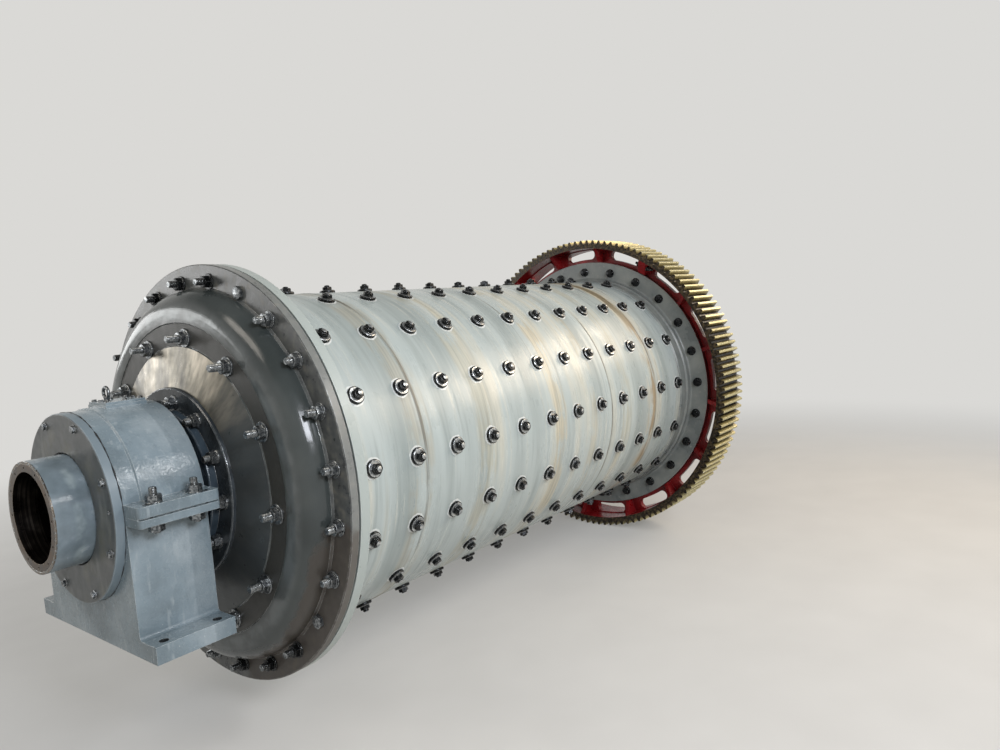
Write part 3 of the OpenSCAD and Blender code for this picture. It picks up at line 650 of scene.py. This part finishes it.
    cast = add(tree, "Bump", {"Height": patches, "Strength": 0.20, "Distance": 0.004, "Normal": lathe})
    return finished(material, colour, gloss, cast, bare)


coat(head_enamel(), "feed_head", "discharge_head")

# Studs and nuts of the heads. Twenty-four hold each head flange, twelve run
# through the flat ring to the wear plates behind it, and twelve hold the
# trunnion. They are cut from threaded bar, so their ends stand out unevenly.

FLANGE_BOLTS, RING_STUDS, TRUNNION_STUDS, RING_FACE = 0.841, 0.610, 0.347, 0.104
FLANGE_BACKS = {"feed": -0.090, "discharge": -0.126}


def black_steel():
    """Blackened high-strength steel with an oil film that glints, and pale edges that are partly wear and
    partly a painted glint.
    """
    material, tree = new_material("black oxide steel")
    point = add(tree, "TexCoord", out="Object")
    eased, edge = soft_edges(tree, 1.0)
    film = add(tree, "TexNoise", {0: point, "Scale": 1000 / 12})
    colour = add(tree, "ValToRGB", {0: film}, stops=((0.35, "#0E0F10"), (0.70, "#232527")))
    # Edges painted pale: partly wear, partly a painted glint.
    worn = add(tree, "Math", {0: edge, 1: 0.7}, **TIMES)
    colour = add(tree, "Mix", {0: worn, 6: colour, 7: "#B4B6B5"}, **TINT)
    dull = add(tree, "MapRange", {0: film, 1: 0.3, 2: 0.7, 3: 0.16, 4: 0.34})
    return finished(material, colour, dull, eased, 0.7)


def stud_parts(spot, washer, across, stud, length, thick=0.006, nut=0.025, number=0):
    """Washer, nut and stud end, standing on a face."""
    return [
        (washer_part(washer, stud * 0.9, thick), spot, number),
        (hex_part(across, thick, thick + nut, stud * 0.85), spot, number),
        (thread_part(stud, thick + nut - 0.001, length), spot, number),
        (point_part(stud, length), spot, 0),
    ]


black = black_steel()
# Bright zinc for the faces and ends of the liner bolts, partly a painted highlight.
bright = plated_steel("zinc plating and painted glint", "#8E9293", "#D2D4D3")
for end in ("feed", "discharge"):
    wrench = random.Random(31 if end == "feed" else 32)
    along = Vector((OUTWARD[end], 0, 0))
    phase = 6 if end == "feed" else 1
    parts = []
    for k in range(24):
        degrees = phase + 15 * k
        spin = wrench.uniform(0, math.tau)
        spot = set_on(on_end(end, 0.0, FLANGE_BOLTS, degrees), along, spin)
        if end == "feed" and degrees in (66, 321):
            parts += [(hex_part(0.050, 0.0, 0.016, 0.0), spot, 0)]
        else:
            dark = 1 if (end == "discharge" or 70 < degrees < 180 or 270 < degrees < 315) else 0
            parts += stud_parts(spot, 0.034, 0.048, STUD_RADIUS, wrench.uniform(0.052, 0.070), number=dark)
        spot = set_on(on_end(end, FLANGE_BACKS[end], FLANGE_BOLTS, degrees), -along, spin)
        parts += [(washer_part(0.031, 0.0155, 0.005), spot, 1),
                  (hex_part(0.046, 0.005, 0.024, 0.0), spot, 1)]
    build(f"{end}_flange_bolts", "drum", [zinc, black], parts)
    parts = []
    for k in range(12):
        spot = on_end(end, RING_FACE, RING_STUDS, 22.5 + 30 * k)
        spot = set_on(spot, along, wrench.uniform(0, math.tau))
        parts += stud_parts(spot, 0.040, 0.050, 0.0160, wrench.uniform(0.068, 0.084), thick=0.008)
    build(f"{end}_ring_studs", "drum", [zinc], parts)
    parts = []
    for k in range(12):
        spot = on_end(end, FLANGE_FACE, TRUNNION_STUDS, 22.5 + 30 * k)
        spot = set_on(spot, along, wrench.uniform(0, math.tau))
        parts += stud_parts(spot, 0.030, 0.048, STUD_RADIUS, wrench.uniform(0.046, 0.058))
    build(f"{end}_trunnion_studs", "drum", [zinc], parts)

# Shell. It is rolled from 19 mm steel plate, welded and painted pale grey.
# Wash water and rust ran round it while it was turned, so the stains lie in
# bands. The paint is paler in a ring round each bolt's washer.

SHELL_RADIUS, SHELL_START, SHELL_END = 0.769, 0.55, 3.47
BOLT_FIRST, BOLT_STEP, BOLT_ROWS, BOLT_TURN = 0.648, 0.250, 16, 2.4
SEAMS = (0.955, 2.525)
RUST_LINES = ((SEAMS[0], 0.014), (SEAMS[1], 0.010), (1.885, 0.006), (3.085, 0.010))
STAINS = ((1.94, 2.04, 0.75, "#B9B098"), (1.30, 1.42, 0.45, "#ABA48C"), (3.020, 3.090, 0.95, "#93836A"),
          (2.980, 3.020, 0.45, "#B9B09A"), (0.86, 0.99, 0.50, "#9A9482"), (2.30, 2.36, 0.50, "#B0A68C"),
          (2.66, 2.76, 0.45, "#ADA790"))
FLAKED_STAINS = ((2.992, 3.098, 0.55, "#CBC4AC"), (3.010, 3.078, 0.90, "#6F654F"))
WRAPPED = {"operation": "FLOORED_MODULO"}


def shell_enamel():
    """Pale grey enamel on rolled plate, with bands of stain, rusty seams and paler rings round the bolts.
    """
    material, tree = new_material("shell enamel")
    point = add(tree, "TexCoord", out="Object")
    x = add(tree, "SeparateXYZ", {0: point})
    facing = add(tree, "VectorMath", {0: across_axis(tree, point)}, operation="NORMALIZE")
    eased = soft_edges(tree, 2.0)[0]
    round_shell = add(tree, "Mapping", {0: point, 3: (1.0, 0.08, 0.08)})
    band = add(tree, "TexNoise", {0: round_shell, "Scale": 1000 / 170, "Detail": 3.0})
    drawn = add(tree, "Mapping", {0: point, 3: (1.0, 0.05, 0.05)})
    streak = add(tree, "TexNoise", {0: drawn, "Scale": 1000 / 24, "Detail": 3.0})
    blotch = add(tree, "TexNoise", {0: point, "Scale": 1000 / 150, "Detail": 4.0})
    colour = add(tree, "ValToRGB", {0: band},
                 stops=((0.32, "#8F9896"), (0.44, "#A0A9A7"), (0.54, "#A9B2B0"), (0.64, "#B5B5A9"),
                        (0.72, "#AFB7B5")))
    colour = brushed_over(tree, colour, streak, 0.52, 0.74, 0.45, "#7E8785")
    colour = brushed_over(tree, colour, streak, 0.44, 0.28, 0.45, "#C3C3B8")
    along = add(tree, "Mapping", {0: point, 3: (0.4, 1.0, 1.0)})
    wander = add(tree, "TexNoise", {0: along, "Scale": 1000 / 420, "Detail": 3.0})
    drift = add(tree, "Math", {0: x, 1: add(tree, "MapRange", {0: wander, 3: -0.045, 4: 0.045})}, **PLUS)
    wear = add(tree, "Math", {0: streak, 1: blotch}, **PLUS)
    wear = add(tree, "MapRange", {0: wear, 1: 0.86, 2: 1.12}, **SOFT)
    line = add(tree, "Mapping", {0: point, 3: (1.0, 0.03, 0.03)})
    line = add(tree, "TexNoise", {0: line, "Scale": 1000 / 9, "Detail": 2.0})
    line = add(tree, "MapRange", {0: line, 1: 0.42, 2: 0.58, 3: 0.72, 4: 1.15})
    for low, high, strength, code in STAINS:
        stain = between(tree, drift, low - 0.02, low + 0.01, high - 0.01, high + 0.02, strength)
        stain = add(tree, "Math", {0: stain, 1: wear}, **TIMES)
        lined = add(tree, "VectorMath", {0: paint(code)[:3], 3: line}, operation="SCALE")
        colour = add(tree, "Mix", {0: stain, 6: colour, 7: lined}, **TINT)
    upward = add(tree, "SeparateXYZ", {0: facing}, 2)
    on_top = add(tree, "MapRange", {0: upward, 1: 0.55, 2: 0.80}, **SOFT)
    for low, high, strength, code in FLAKED_STAINS:
        flaking = between(tree, drift, low - 0.008, low + 0.004, high - 0.004, high + 0.008, strength)
        flaking = add(tree, "Math", {0: flaking, 1: on_top}, **TIMES)
        colour = add(tree, "Mix", {0: flaking, 6: colour, 7: code}, **TINT)
    broken = add(tree, "MapRange", {0: streak, 1: 0.40, 2: 0.60, 4: 0.85}, **SOFT)
    for place, wide in RUST_LINES:
        off = add(tree, "Math", {0: add(tree, "Math", {0: x, 1: place}, **LESS)}, **DISTANCE)
        rust = add(tree, "MapRange", {0: off, 1: wide, 2: wide * 0.3}, **SOFT)
        rust = add(tree, "Math", {0: rust, 1: broken}, **TIMES)
        colour = add(tree, "Mix", {0: rust, 6: colour, 7: "#5F594C"}, **TINT)
    cell = add(tree, "Math", {0: x, 1: BOLT_FIRST - BOLT_STEP / 2}, **LESS)
    cell = add(tree, "Math", {0: cell, 1: BOLT_STEP}, **WRAPPED)
    beside = add(tree, "Math", {0: cell, 1: BOLT_STEP / 2}, **LESS)
    near = add(tree, "Math", {0: add(tree, "SeparateXYZ", {0: facing}, 1), 1: -1.0}, **TIMES)
    turns = add(tree, "Math", {0: upward, 1: near}, operation="ARCTAN2")
    row = add(tree, "Math", {0: turns, 1: math.radians(BOLT_TURN - 180 / BOLT_ROWS)}, **LESS)
    row = add(tree, "Math", {0: row, 1: math.tau / BOLT_ROWS}, **WRAPPED)
    above = add(tree, "Math", {0: row, 1: math.pi / BOLT_ROWS}, **LESS)
    above = add(tree, "Math", {0: above, 1: SHELL_RADIUS}, **TIMES)
    from_bolt = add(tree, "CombineXYZ", {0: beside, 1: above})
    from_bolt = add(tree, "VectorMath", {0: from_bolt}, **LENGTH)
    fray = add(tree, "TexNoise", {0: point, "Scale": 1000 / 18})
    fray = add(tree, "MapRange", {0: fray, 3: -0.007, 4: 0.007})
    from_bolt = add(tree, "Math", {0: from_bolt, 1: fray}, **PLUS)
    # The paint is paler in a ring round each bolt.
    halo = add(tree, "MapRange", {0: from_bolt, 1: 0.048, 2: 0.043, 4: 0.85}, **SOFT)
    for limit, inside in ((SHELL_START, SHELL_START + 0.01), (SHELL_END, SHELL_END - 0.01)):
        within = add(tree, "MapRange", {0: x, 1: limit, 2: inside}, **SOFT)
        halo = add(tree, "Math", {0: halo, 1: within}, **TIMES)
    colour = add(tree, "Mix", {0: halo, 6: colour, 7: "#DDE0DC"}, **TINT)
    gloss = add(tree, "Math", {0: streak, 1: blotch}, **PLUS)
    gloss = add(tree, "MapRange", {0: gloss, 1: 0.75, 2: 1.25, 3: 0.20, 4: 0.46})
    rolled = add(tree, "Mapping", {0: point, 3: (1.0, 0.5, 0.5)})
    rolled = uneven(tree, rolled, 240, 0.22, 6.0, eased)
    brushed = add(tree, "Bump", {"Height": streak, "Strength": 0.22, "Distance": 0.0014, "Normal": rolled})
    crazed = uneven(tree, point, 16, 0.15, 1.2, brushed, 4.0)
    return finished(material, colour, gloss, crazed)


def weld_bead(x, radius, wide, tall, seed, sides=720):
    """Weld run round the shell, with the ripples of its passes about 7 mm apart."""
    chance = random.Random(seed)
    jitter = [chance.uniform(-0.3, 0.3) for _ in range(sides)]
    verts, faces = [], []
    profile = ((-1.0, 0.0), (-0.7, 0.6), (-0.25, 0.95), (0.25, 0.95), (0.7, 0.6), (1.0, 0.0))
    for i in range(sides):
        a = math.tau * i / sides
        ripple = 0.72 + 0.28 * (i % 2) + 0.12 * jitter[i]
        lean = 0.12 * wide * math.sin(37 * a + seed) + 0.10 * wide * jitter[i]
        for u, v in profile:
            r = radius + tall * v * ripple
            verts.append((x + wide * u + lean, r * math.cos(a), AXIS_HEIGHT + r * math.sin(a)))
    last = len(profile)
    for i in range(sides):
        for k in range(last - 1):
            j = (i + 1) % sides
            faces.append((i * last + k, i * last + k + 1, j * last + k + 1, j * last + k))
    return verts, faces


shell_paint = shell_enamel()
coat(shell_paint, "shell")
build("shell_weld_seams", "drum", [shell_paint], [
    (weld_bead(SEAMS[i], SHELL_RADIUS - 0.0002, 0.0075, 0.0026, 3 + i), Matrix.Identity(4), 0)
    for i in range(2)])

# Shell flanges. They are turned from plate and welded to the shell's ends. The
# feed one has the shell's pale paint. The gear one has a darker undercoat, and
# its edge got the gear's red primer.

FEED_WELD = 0.4985


def flange_coat(name, low, high, rim_code):
    """Plain grey paint over a turned flange, with a rim of its own colour and rubbed corners."""
    material, tree = new_material(name)
    point = add(tree, "TexCoord", out="Object")
    radius = add(tree, "VectorMath", {0: across_axis(tree, point)}, **LENGTH)
    eased, edge = soft_edges(tree, 2.5)
    cloud = add(tree, "TexNoise", {0: point, "Scale": 1000 / 130, "Detail": 3.0})
    colour = add(tree, "ValToRGB", {0: cloud}, stops=((0.35, low), (0.68, high)))
    specks = add(tree, "TexNoise", {0: point, "Scale": 1000 / 18})
    colour = brushed_over(tree, colour, specks, 0.60, 0.75, 0.45, "#9A978C")
    on_rim = add(tree, "MapRange", {0: radius, 1: FLANGE_EDGE - 0.0005, 2: FLANGE_EDGE + 0.0005}, **SOFT)
    colour = add(tree, "Mix", {0: on_rim, 6: colour, 7: rim_code}, **TINT)
    colour = rubbed_edges(tree, colour, point, edge, 24, 0.35, 0.60, 0.6, "#D2D6D4")[0]
    gloss = add(tree, "MapRange", {0: cloud, 1: 0.3, 2: 0.7, 3: 0.24, 4: 0.42})
    cast = uneven(tree, point, 30, 0.15, 2.0, eased)
    return finished(material, colour, gloss, cast)


pale_flange = flange_coat("pale flange paint", "#8F9997", "#A7AFAB", "#A3ABA7")
grey_flange = flange_coat("grey flange paint", "#6A6F6E", "#868984", "#5A1013")
coat(pale_flange, "feed_shell_flange")
coat(grey_flange, "gear_shell_flange")
build("feed_flange_weld", "drum", [pale_flange], [
    (weld_bead(FEED_WELD, SHELL_RADIUS - 0.0005, 0.0090, 0.0075, 5), Matrix.Identity(4), 0),
])

# Bolts of the shell's wear plates. Each plate is pulled against the shell by
# bolts that come out through it. A black cup washer with a bright face holds
# the rubber seal, and a black nut and the rounded end of the bolt stand on it.
# The cup's black rim is partly painted shade; its bright zinc face and the
# bright end of the bolt are partly painted highlights.

CUP_TOP, BOLT_RADIUS, POINT_RADIUS = 0.014, 0.0140, 0.0115
cup = turned_part([(0.0360, 0.0), (0.0385, 0.002), (0.0390, 0.007), (0.0380, 0.012),
                   (0.0345, CUP_TOP)], 32)
face = turned_part([(0.0345, CUP_TOP), (0.0332, 0.0150), (BOLT_RADIUS, 0.0154)], 32)
parts = []
wrench = random.Random(51)
for i in range(12):
    for k in range(BOLT_ROWS):
        a = math.radians(BOLT_TURN + 360 / BOLT_ROWS * k)
        out = Vector((0, -math.cos(a), math.sin(a)))
        foot = Vector((BOLT_FIRST + BOLT_STEP * i, 0, AXIS_HEIGHT)) + out * (SHELL_RADIUS - 0.0005)
        spot = set_on(foot, out, wrench.uniform(0, math.tau))
        end_height = wrench.uniform(0.037, 0.044)
        side = turned_part([(BOLT_RADIUS, 0.029), (BOLT_RADIUS, end_height - 0.005),
                            (POINT_RADIUS, end_height - 0.0015)], 20)
        tip = turned_part([(POINT_RADIUS, end_height - 0.0015), (0.0075, end_height),
                           (0.0, end_height + 0.001)], 20)
        # Black cup, partly painted shade; bright face and tip, partly painted highlights.
        parts += [(cup, spot, 0), (face, spot, 1), (hex_part(0.043, 0.0154, 0.032, 0.0135), spot, 0),
                  (side, spot, 0), (tip, spot, 1)]
build("liner_bolts", "drum", [black, bright], parts)

# Wear plates. They are cast manganese steel, bolted to the inside of the shell
# and the heads, dull and scaly as they came from the foundry.


def cast_wear_steel():
    """As-cast manganese steel: brown-grey scale with a coarse sand surface."""
    material, tree = new_material("cast manganese steel")
    point = add(tree, "TexCoord", out="Object")
    eased, edge = soft_edges(tree, 3.0)
    scale = add(tree, "TexNoise", {0: point, "Scale": 1000 / 60, "Detail": 4.0})
    colour = add(tree, "ValToRGB", {0: scale}, stops=((0.35, "#2F2B28"), (0.65, "#4B443E")))
    worn = add(tree, "Math", {0: edge, 1: 0.4}, **TIMES)
    colour = add(tree, "Mix", {0: worn, 6: colour, 7: "#7A746B"}, **TINT)
    sand = uneven(tree, point, 5, 0.4, 1.0, eased)
    return finished(material, colour, 0.65, sand, 0.4)


coat(cast_wear_steel(), "shell_liner", "feed_head_liner", "discharge_head_liner")

# Girth gear. It is cast in two halves, with a lip round each window of the web,
# and bolted in between the flanges. The web has deep red primer, the rim's sides
# are bare and brown, and the hobbed teeth are bright, with grease in the gaps.
# Their colour runs dark at the root, partly as painted shade in the gaps, to
# light at the tip, partly as a painted highlight.

GEAR_MIDDLE, RIM_INNER, TOOTH_ROOT, TOOTH_TIP = 3.633, 1.012, 1.036, 1.072
WEB_NEAR, WEB_FAR, WINDOW_LENGTH, WINDOW_MIDDLE = 3.615, 3.651, 0.236, 0.9615
BARE_WINDOW = (0.0010, 0.9150, 1.0080, 0.0165)
LIPPED_WINDOW = (-0.0020, 0.9365, 1.0050, 0.0300)
JOINT_BOLTS, LUG_FACE = 0.972, 0.030


def gear_finish():
    """Deep red primer on the web, brown cast skin on the rim's sides, and greased steel on the teeth,
    painted dark at the root and light at the tip as painted shade and highlight.
    """
    material, tree = new_material("girth gear steel")
    point = add(tree, "TexCoord", out="Object")
    radius = add(tree, "VectorMath", {0: across_axis(tree, point)}, **LENGTH)
    eased, edge = soft_edges(tree, 2.0)
    sideways = add(tree, "SeparateXYZ", {0: add(tree, "TexCoord", out="Normal")})
    sideways = add(tree, "Math", {0: sideways}, **DISTANCE)
    cloud = add(tree, "TexNoise", {0: point, "Scale": 1000 / 110, "Detail": 3.0})
    fine = add(tree, "TexNoise", {0: point, "Scale": 1000 / 18, "Detail": 3.0})
    red = add(tree, "ValToRGB", {0: cloud}, stops=((0.35, "#6A0E12"), (0.55, "#821619"), (0.70, "#9A2226")))
    dark = add(tree, "MapRange", {0: fine, 1: 0.58, 2: 0.72, 4: 0.5}, **SOFT)
    red = add(tree, "Mix", {0: dark, 6: red, 7: "#430B0D"}, **TINT)
    brown = add(tree, "ValToRGB", {0: fine},
                stops=((0.36, "#19140F"), (0.52, "#32291D"), (0.66, "#534631")))
    depth = add(tree, "MapRange", {0: radius, 1: TOOTH_ROOT, 2: TOOTH_TIP})
    smear = add(tree, "Mapping", {0: point, 3: (0.25, 1.0, 1.0)})
    smear = add(tree, "TexNoise", {0: smear, "Scale": 1000 / 26, "Detail": 3.0})
    smear = add(tree, "MapRange", {0: smear, 3: -0.25, 4: 0.25})
    depth = add(tree, "Math", {0: depth, 1: smear}, **PLUS)
    # Painted shade and highlight: the teeth run dark at the root, partly grease and partly the shade in the
    # gaps, to light at the tip.
    tooth_shade_to_highlight = add(tree, "ValToRGB", {0: depth},
                stops=((0.06, "#1A150F"), (0.30, "#4E442F"), (0.58, "#83784F"), (0.82, "#A1966A"),
                       (0.97, "#BCB385")))
    rubbed = add(tree, "Math", {0: edge, 1: 0.45}, **TIMES)
    red = add(tree, "Mix", {0: rubbed, 6: red, 7: "#B5595A"}, **TINT)
    on_rim = add(tree, "MapRange", {0: radius, 1: RIM_INNER - 0.0005, 2: RIM_INNER + 0.0010}, **SOFT)
    flat_side = add(tree, "MapRange", {0: sideways, 1: 0.5, 2: 0.6}, **SOFT)
    outside = add(tree, "Math", {0: on_rim, 1: flat_side}, **TIMES)
    colour = add(tree, "Mix", {0: outside, 6: red, 7: brown}, **TINT)
    past_root = add(tree, "MapRange", {0: radius, 1: TOOTH_ROOT - 0.003, 2: TOOTH_ROOT - 0.001}, **SOFT)
    flank = add(tree, "MapRange", {0: sideways, 1: 0.6, 2: 0.4}, **SOFT)
    cut = add(tree, "Math", {0: past_root, 1: flank}, **TIMES)
    colour = add(tree, "Mix", {0: cut, 6: colour, 7: tooth_shade_to_highlight}, **TINT)
    # Painted highlight: pale edges near the tips of the teeth.
    tip = add(tree, "MapRange", {0: radius, 1: TOOTH_TIP - 0.006, 2: TOOTH_TIP - 0.001, 4: 0.9}, **SOFT)
    worn = add(tree, "Math", {0: edge, 1: tip}, **TIMES)
    colour = add(tree, "Mix", {0: worn, 6: colour, 7: "#E6DFC0"}, **TINT)
    bare_cut = add(tree, "Math", {0: cut, 1: 0.55}, **TIMES)
    bare_side = add(tree, "Math", {0: outside, 1: 0.3}, **TIMES)
    metal = add(tree, "Math", {0: bare_cut, 1: bare_side}, **LARGER)
    gloss = add(tree, "MapRange", {0: fine, 1: 0.3, 2: 0.7, 3: 0.22, 4: 0.44})
    cast = uneven(tree, point, 24, 0.22, 2.0, eased, 3.0)
    return finished(material, colour, gloss, cast, metal, 0.3)


def window_loop(grown, inner, outer, corner):
    """Outline of a window as radius and angle pairs, with round corners and long sides along the rim."""
    loop = []
    half = WINDOW_LENGTH / 2 + grown - corner
    for quarter in range(4):
        along = half if quarter in (0, 3) else -half
        r = outer - corner if quarter < 2 else inner + corner
        for i in range(7):
            t = math.radians(90 * quarter + 15 * i)
            loop.append((r + corner * math.sin(t), (along + corner * math.cos(t)) / WINDOW_MIDDLE))
        if quarter in (0, 2):
            side, end = loop[-1]
            loop += [(side, end * (1 - i / 5)) for i in range(1, 10)]
    return loop


def window_lip(middle_angle):
    """Cast lip that rounds the ends of one window and widens its margin beside the shell's flange."""
    wide, narrow = window_loop(*BARE_WINDOW), window_loop(*LIPPED_WINDOW)
    verts = []
    for loop in (wide, narrow):
        for x in (WEB_NEAR - 0.0003, WEB_FAR + 0.0003):
            for r, turn in loop:
                a = middle_angle + turn
                verts.append((x, -r * math.cos(a), AXIS_HEIGHT + r * math.sin(a)))
    n = len(wide)
    faces = []
    for i in range(n):
        j = (i + 1) % n
        faces += [(j, i, 2 * n + i, 2 * n + j), (n + i, n + j, 3 * n + j, 3 * n + i),
                  (2 * n + j, 2 * n + i, 3 * n + i, 3 * n + j), (i, j, n + j, n + i)]
    return verts, faces


gear_steel = gear_finish()
for half, first in (("gear_half_a", 48.75), ("gear_half_b", -131.25)):
    coat(gear_steel, half)
    build(half + "_window_lips", "drum", [gear_steel], [
        (window_lip(math.radians(first - 22.5 * i)), Matrix.Identity(4), 0) for i in range(8)])
parts = []
wrench = random.Random(61)
for joint in (60.0, 240.0):
    a = math.radians(joint)
    out = Vector((0, -math.cos(a), math.sin(a)))
    round_mill = Vector((0, math.sin(a), math.cos(a)))
    for offset in (-0.080, -0.042, 0.042, 0.080):
        for way in (-1, 1):
            foot = Vector((GEAR_MIDDLE + offset, 0, AXIS_HEIGHT)) + out * JOINT_BOLTS
            foot += round_mill * way * LUG_FACE
            spot = set_on(foot, round_mill * way, wrench.uniform(0, math.tau))
            length = 0.030 if way < 0 else 0.036
            parts += stud_parts(spot, 0.018, 0.030, 0.0100, length, thick=0.003, nut=0.016)
build("gear_joint_bolts", "drum", [black], parts)

# Floor and light. The floor is a plain pale sheet level with the lowest teeth,
# and it fades into the backdrop. Rows of windows on both sides, a roof light and
# a broad cool lamp behind the camera light the mill.

FLOOR = AXIS_HEIGHT - 1.0735
BACKDROP, FADE_START, FADE_END = "#DAD9D6", 3.0, 8.5
LAMPS = (  # name, place, target, size, watts, colour
    ("near_windows", (6.2, -3.3, 2.9), (2.1, -0.5, 0.8), (4.8, 1.9), 165, "#FFEACF"),
    ("side_window", (2.6, -4.4, 3.5), (0.1, -0.2, 0.7), (1.8, 0.9), 75, "#FFFFFF"),
    ("left_windows", (-1.9, 5.6, 2.0), (0.3, 0.0, 0.8), (4.0, 1.6), 72, "#FFFFFF"),
    ("roof_light", (-2.6, 0.6, 4.4), (0.2, -0.1, 0.8), (2.4, 1.4), 46, "#FFF6EA"),
    ("front_fill", (-0.8, -6.3, 3.4), (0.7, 0.0, 0.4), (2.6, 1.6), 272, "#F2F6FF"),
)


def backdrop_rays(tree):
    """1 for rays from the camera, mirrors and glass, which see the backdrop; 0 for those that light."""
    rays = [add(tree, "LightPath", out=f"Is {kind} Ray") for kind in ("Camera", "Glossy", "Transmission")]
    seen = add(tree, "Math", {0: rays[0], 1: rays[1]}, **LARGER)
    return add(tree, "Math", {0: seen, 1: rays[2]}, **LARGER)


def stage_sheet():
    """Matt pale sheet that keeps the mill's shadow and fades into the backdrop away from it."""
    material, tree = new_material("stage floor")
    point = add(tree, "TexCoord", out="Object")
    grain = add(tree, "TexNoise", {0: point, "Scale": 1000 / 400})
    colour = add(tree, "ValToRGB", {0: grain}, stops=((0.3, "#C6C5C2"), (0.7, "#CCCBC8")))
    from_mill = add(tree, "VectorMath", {0: point, 1: (MID_LENGTH, 0, FLOOR)}, **LESS)
    from_mill = add(tree, "VectorMath", {0: from_mill}, **LENGTH)
    far = add(tree, "MapRange", {0: from_mill, 1: FADE_START, 2: FADE_END}, **SOFT)
    sheet = add(tree, "BsdfPrincipled", {"Base Color": colour, "Roughness": 0.8})
    backdrop = add(tree, "Emission", {"Color": BACKDROP, "Strength": 1.0})
    share = add(tree, "MapRange", {0: far, 3: 0.30, 4: 1.0})
    share = add(tree, "Math", {0: share, 1: backdrop_rays(tree)}, **TIMES)
    surface = add(tree, "MixShader", {0: share, 1: sheet, 2: backdrop})
    add(tree, "OutputMaterial", {"Surface": surface})
    return material


floor_mesh = bpy.data.meshes.new("floor")
corners = [(x, y, FLOOR) for x, y in ((-30, -30), (40, -30), (40, 40), (-30, 40))]
floor_mesh.from_pydata(corners, [], [(0, 1, 2, 3)])
floor_mesh.materials.append(stage_sheet())
floor = bpy.data.objects.new("floor", floor_mesh)
bpy.context.scene.collection.objects.link(floor)

for name, spot, target, size, watts, code in LAMPS:
    lamp_data = bpy.data.lights.new(name, "AREA")
    lamp_data.shape = "RECTANGLE"
    lamp_data.size, lamp_data.size_y = size
    lamp_data.energy = watts
    lamp_data.color = paint(code)[:3]
    lamp = bpy.data.objects.new(name, lamp_data)
    lamp.location = spot
    lamp.rotation_euler = (Vector(target) - Vector(spot)).to_track_quat("-Z", "Y").to_euler()
    lamp.visible_camera = False
    bpy.context.scene.collection.objects.link(lamp)

world = bpy.data.worlds.new("studio")
world.use_nodes = True
world.node_tree.nodes.clear()
bpy.context.scene.world = world
sky = world.node_tree
climb = add(sky, "SeparateXYZ", {0: add(sky, "TexCoord", out="Generated")}, 2)
wall = add(sky, "MapRange", {0: climb, 1: 0.42, 2: 0.72}, **SOFT)
wall = add(sky, "Mix", {0: wall, 6: BACKDROP, 7: "#6A6A68"}, **TINT)
ambient = add(sky, "Background", {"Color": "#DEDEDC", "Strength": 0.40})
backdrop = add(sky, "Background", {"Color": wall, "Strength": 1.0})
add(sky, "OutputWorld", {0: add(sky, "MixShader", {0: backdrop_rays(sky), 1: ambient, 2: backdrop})})
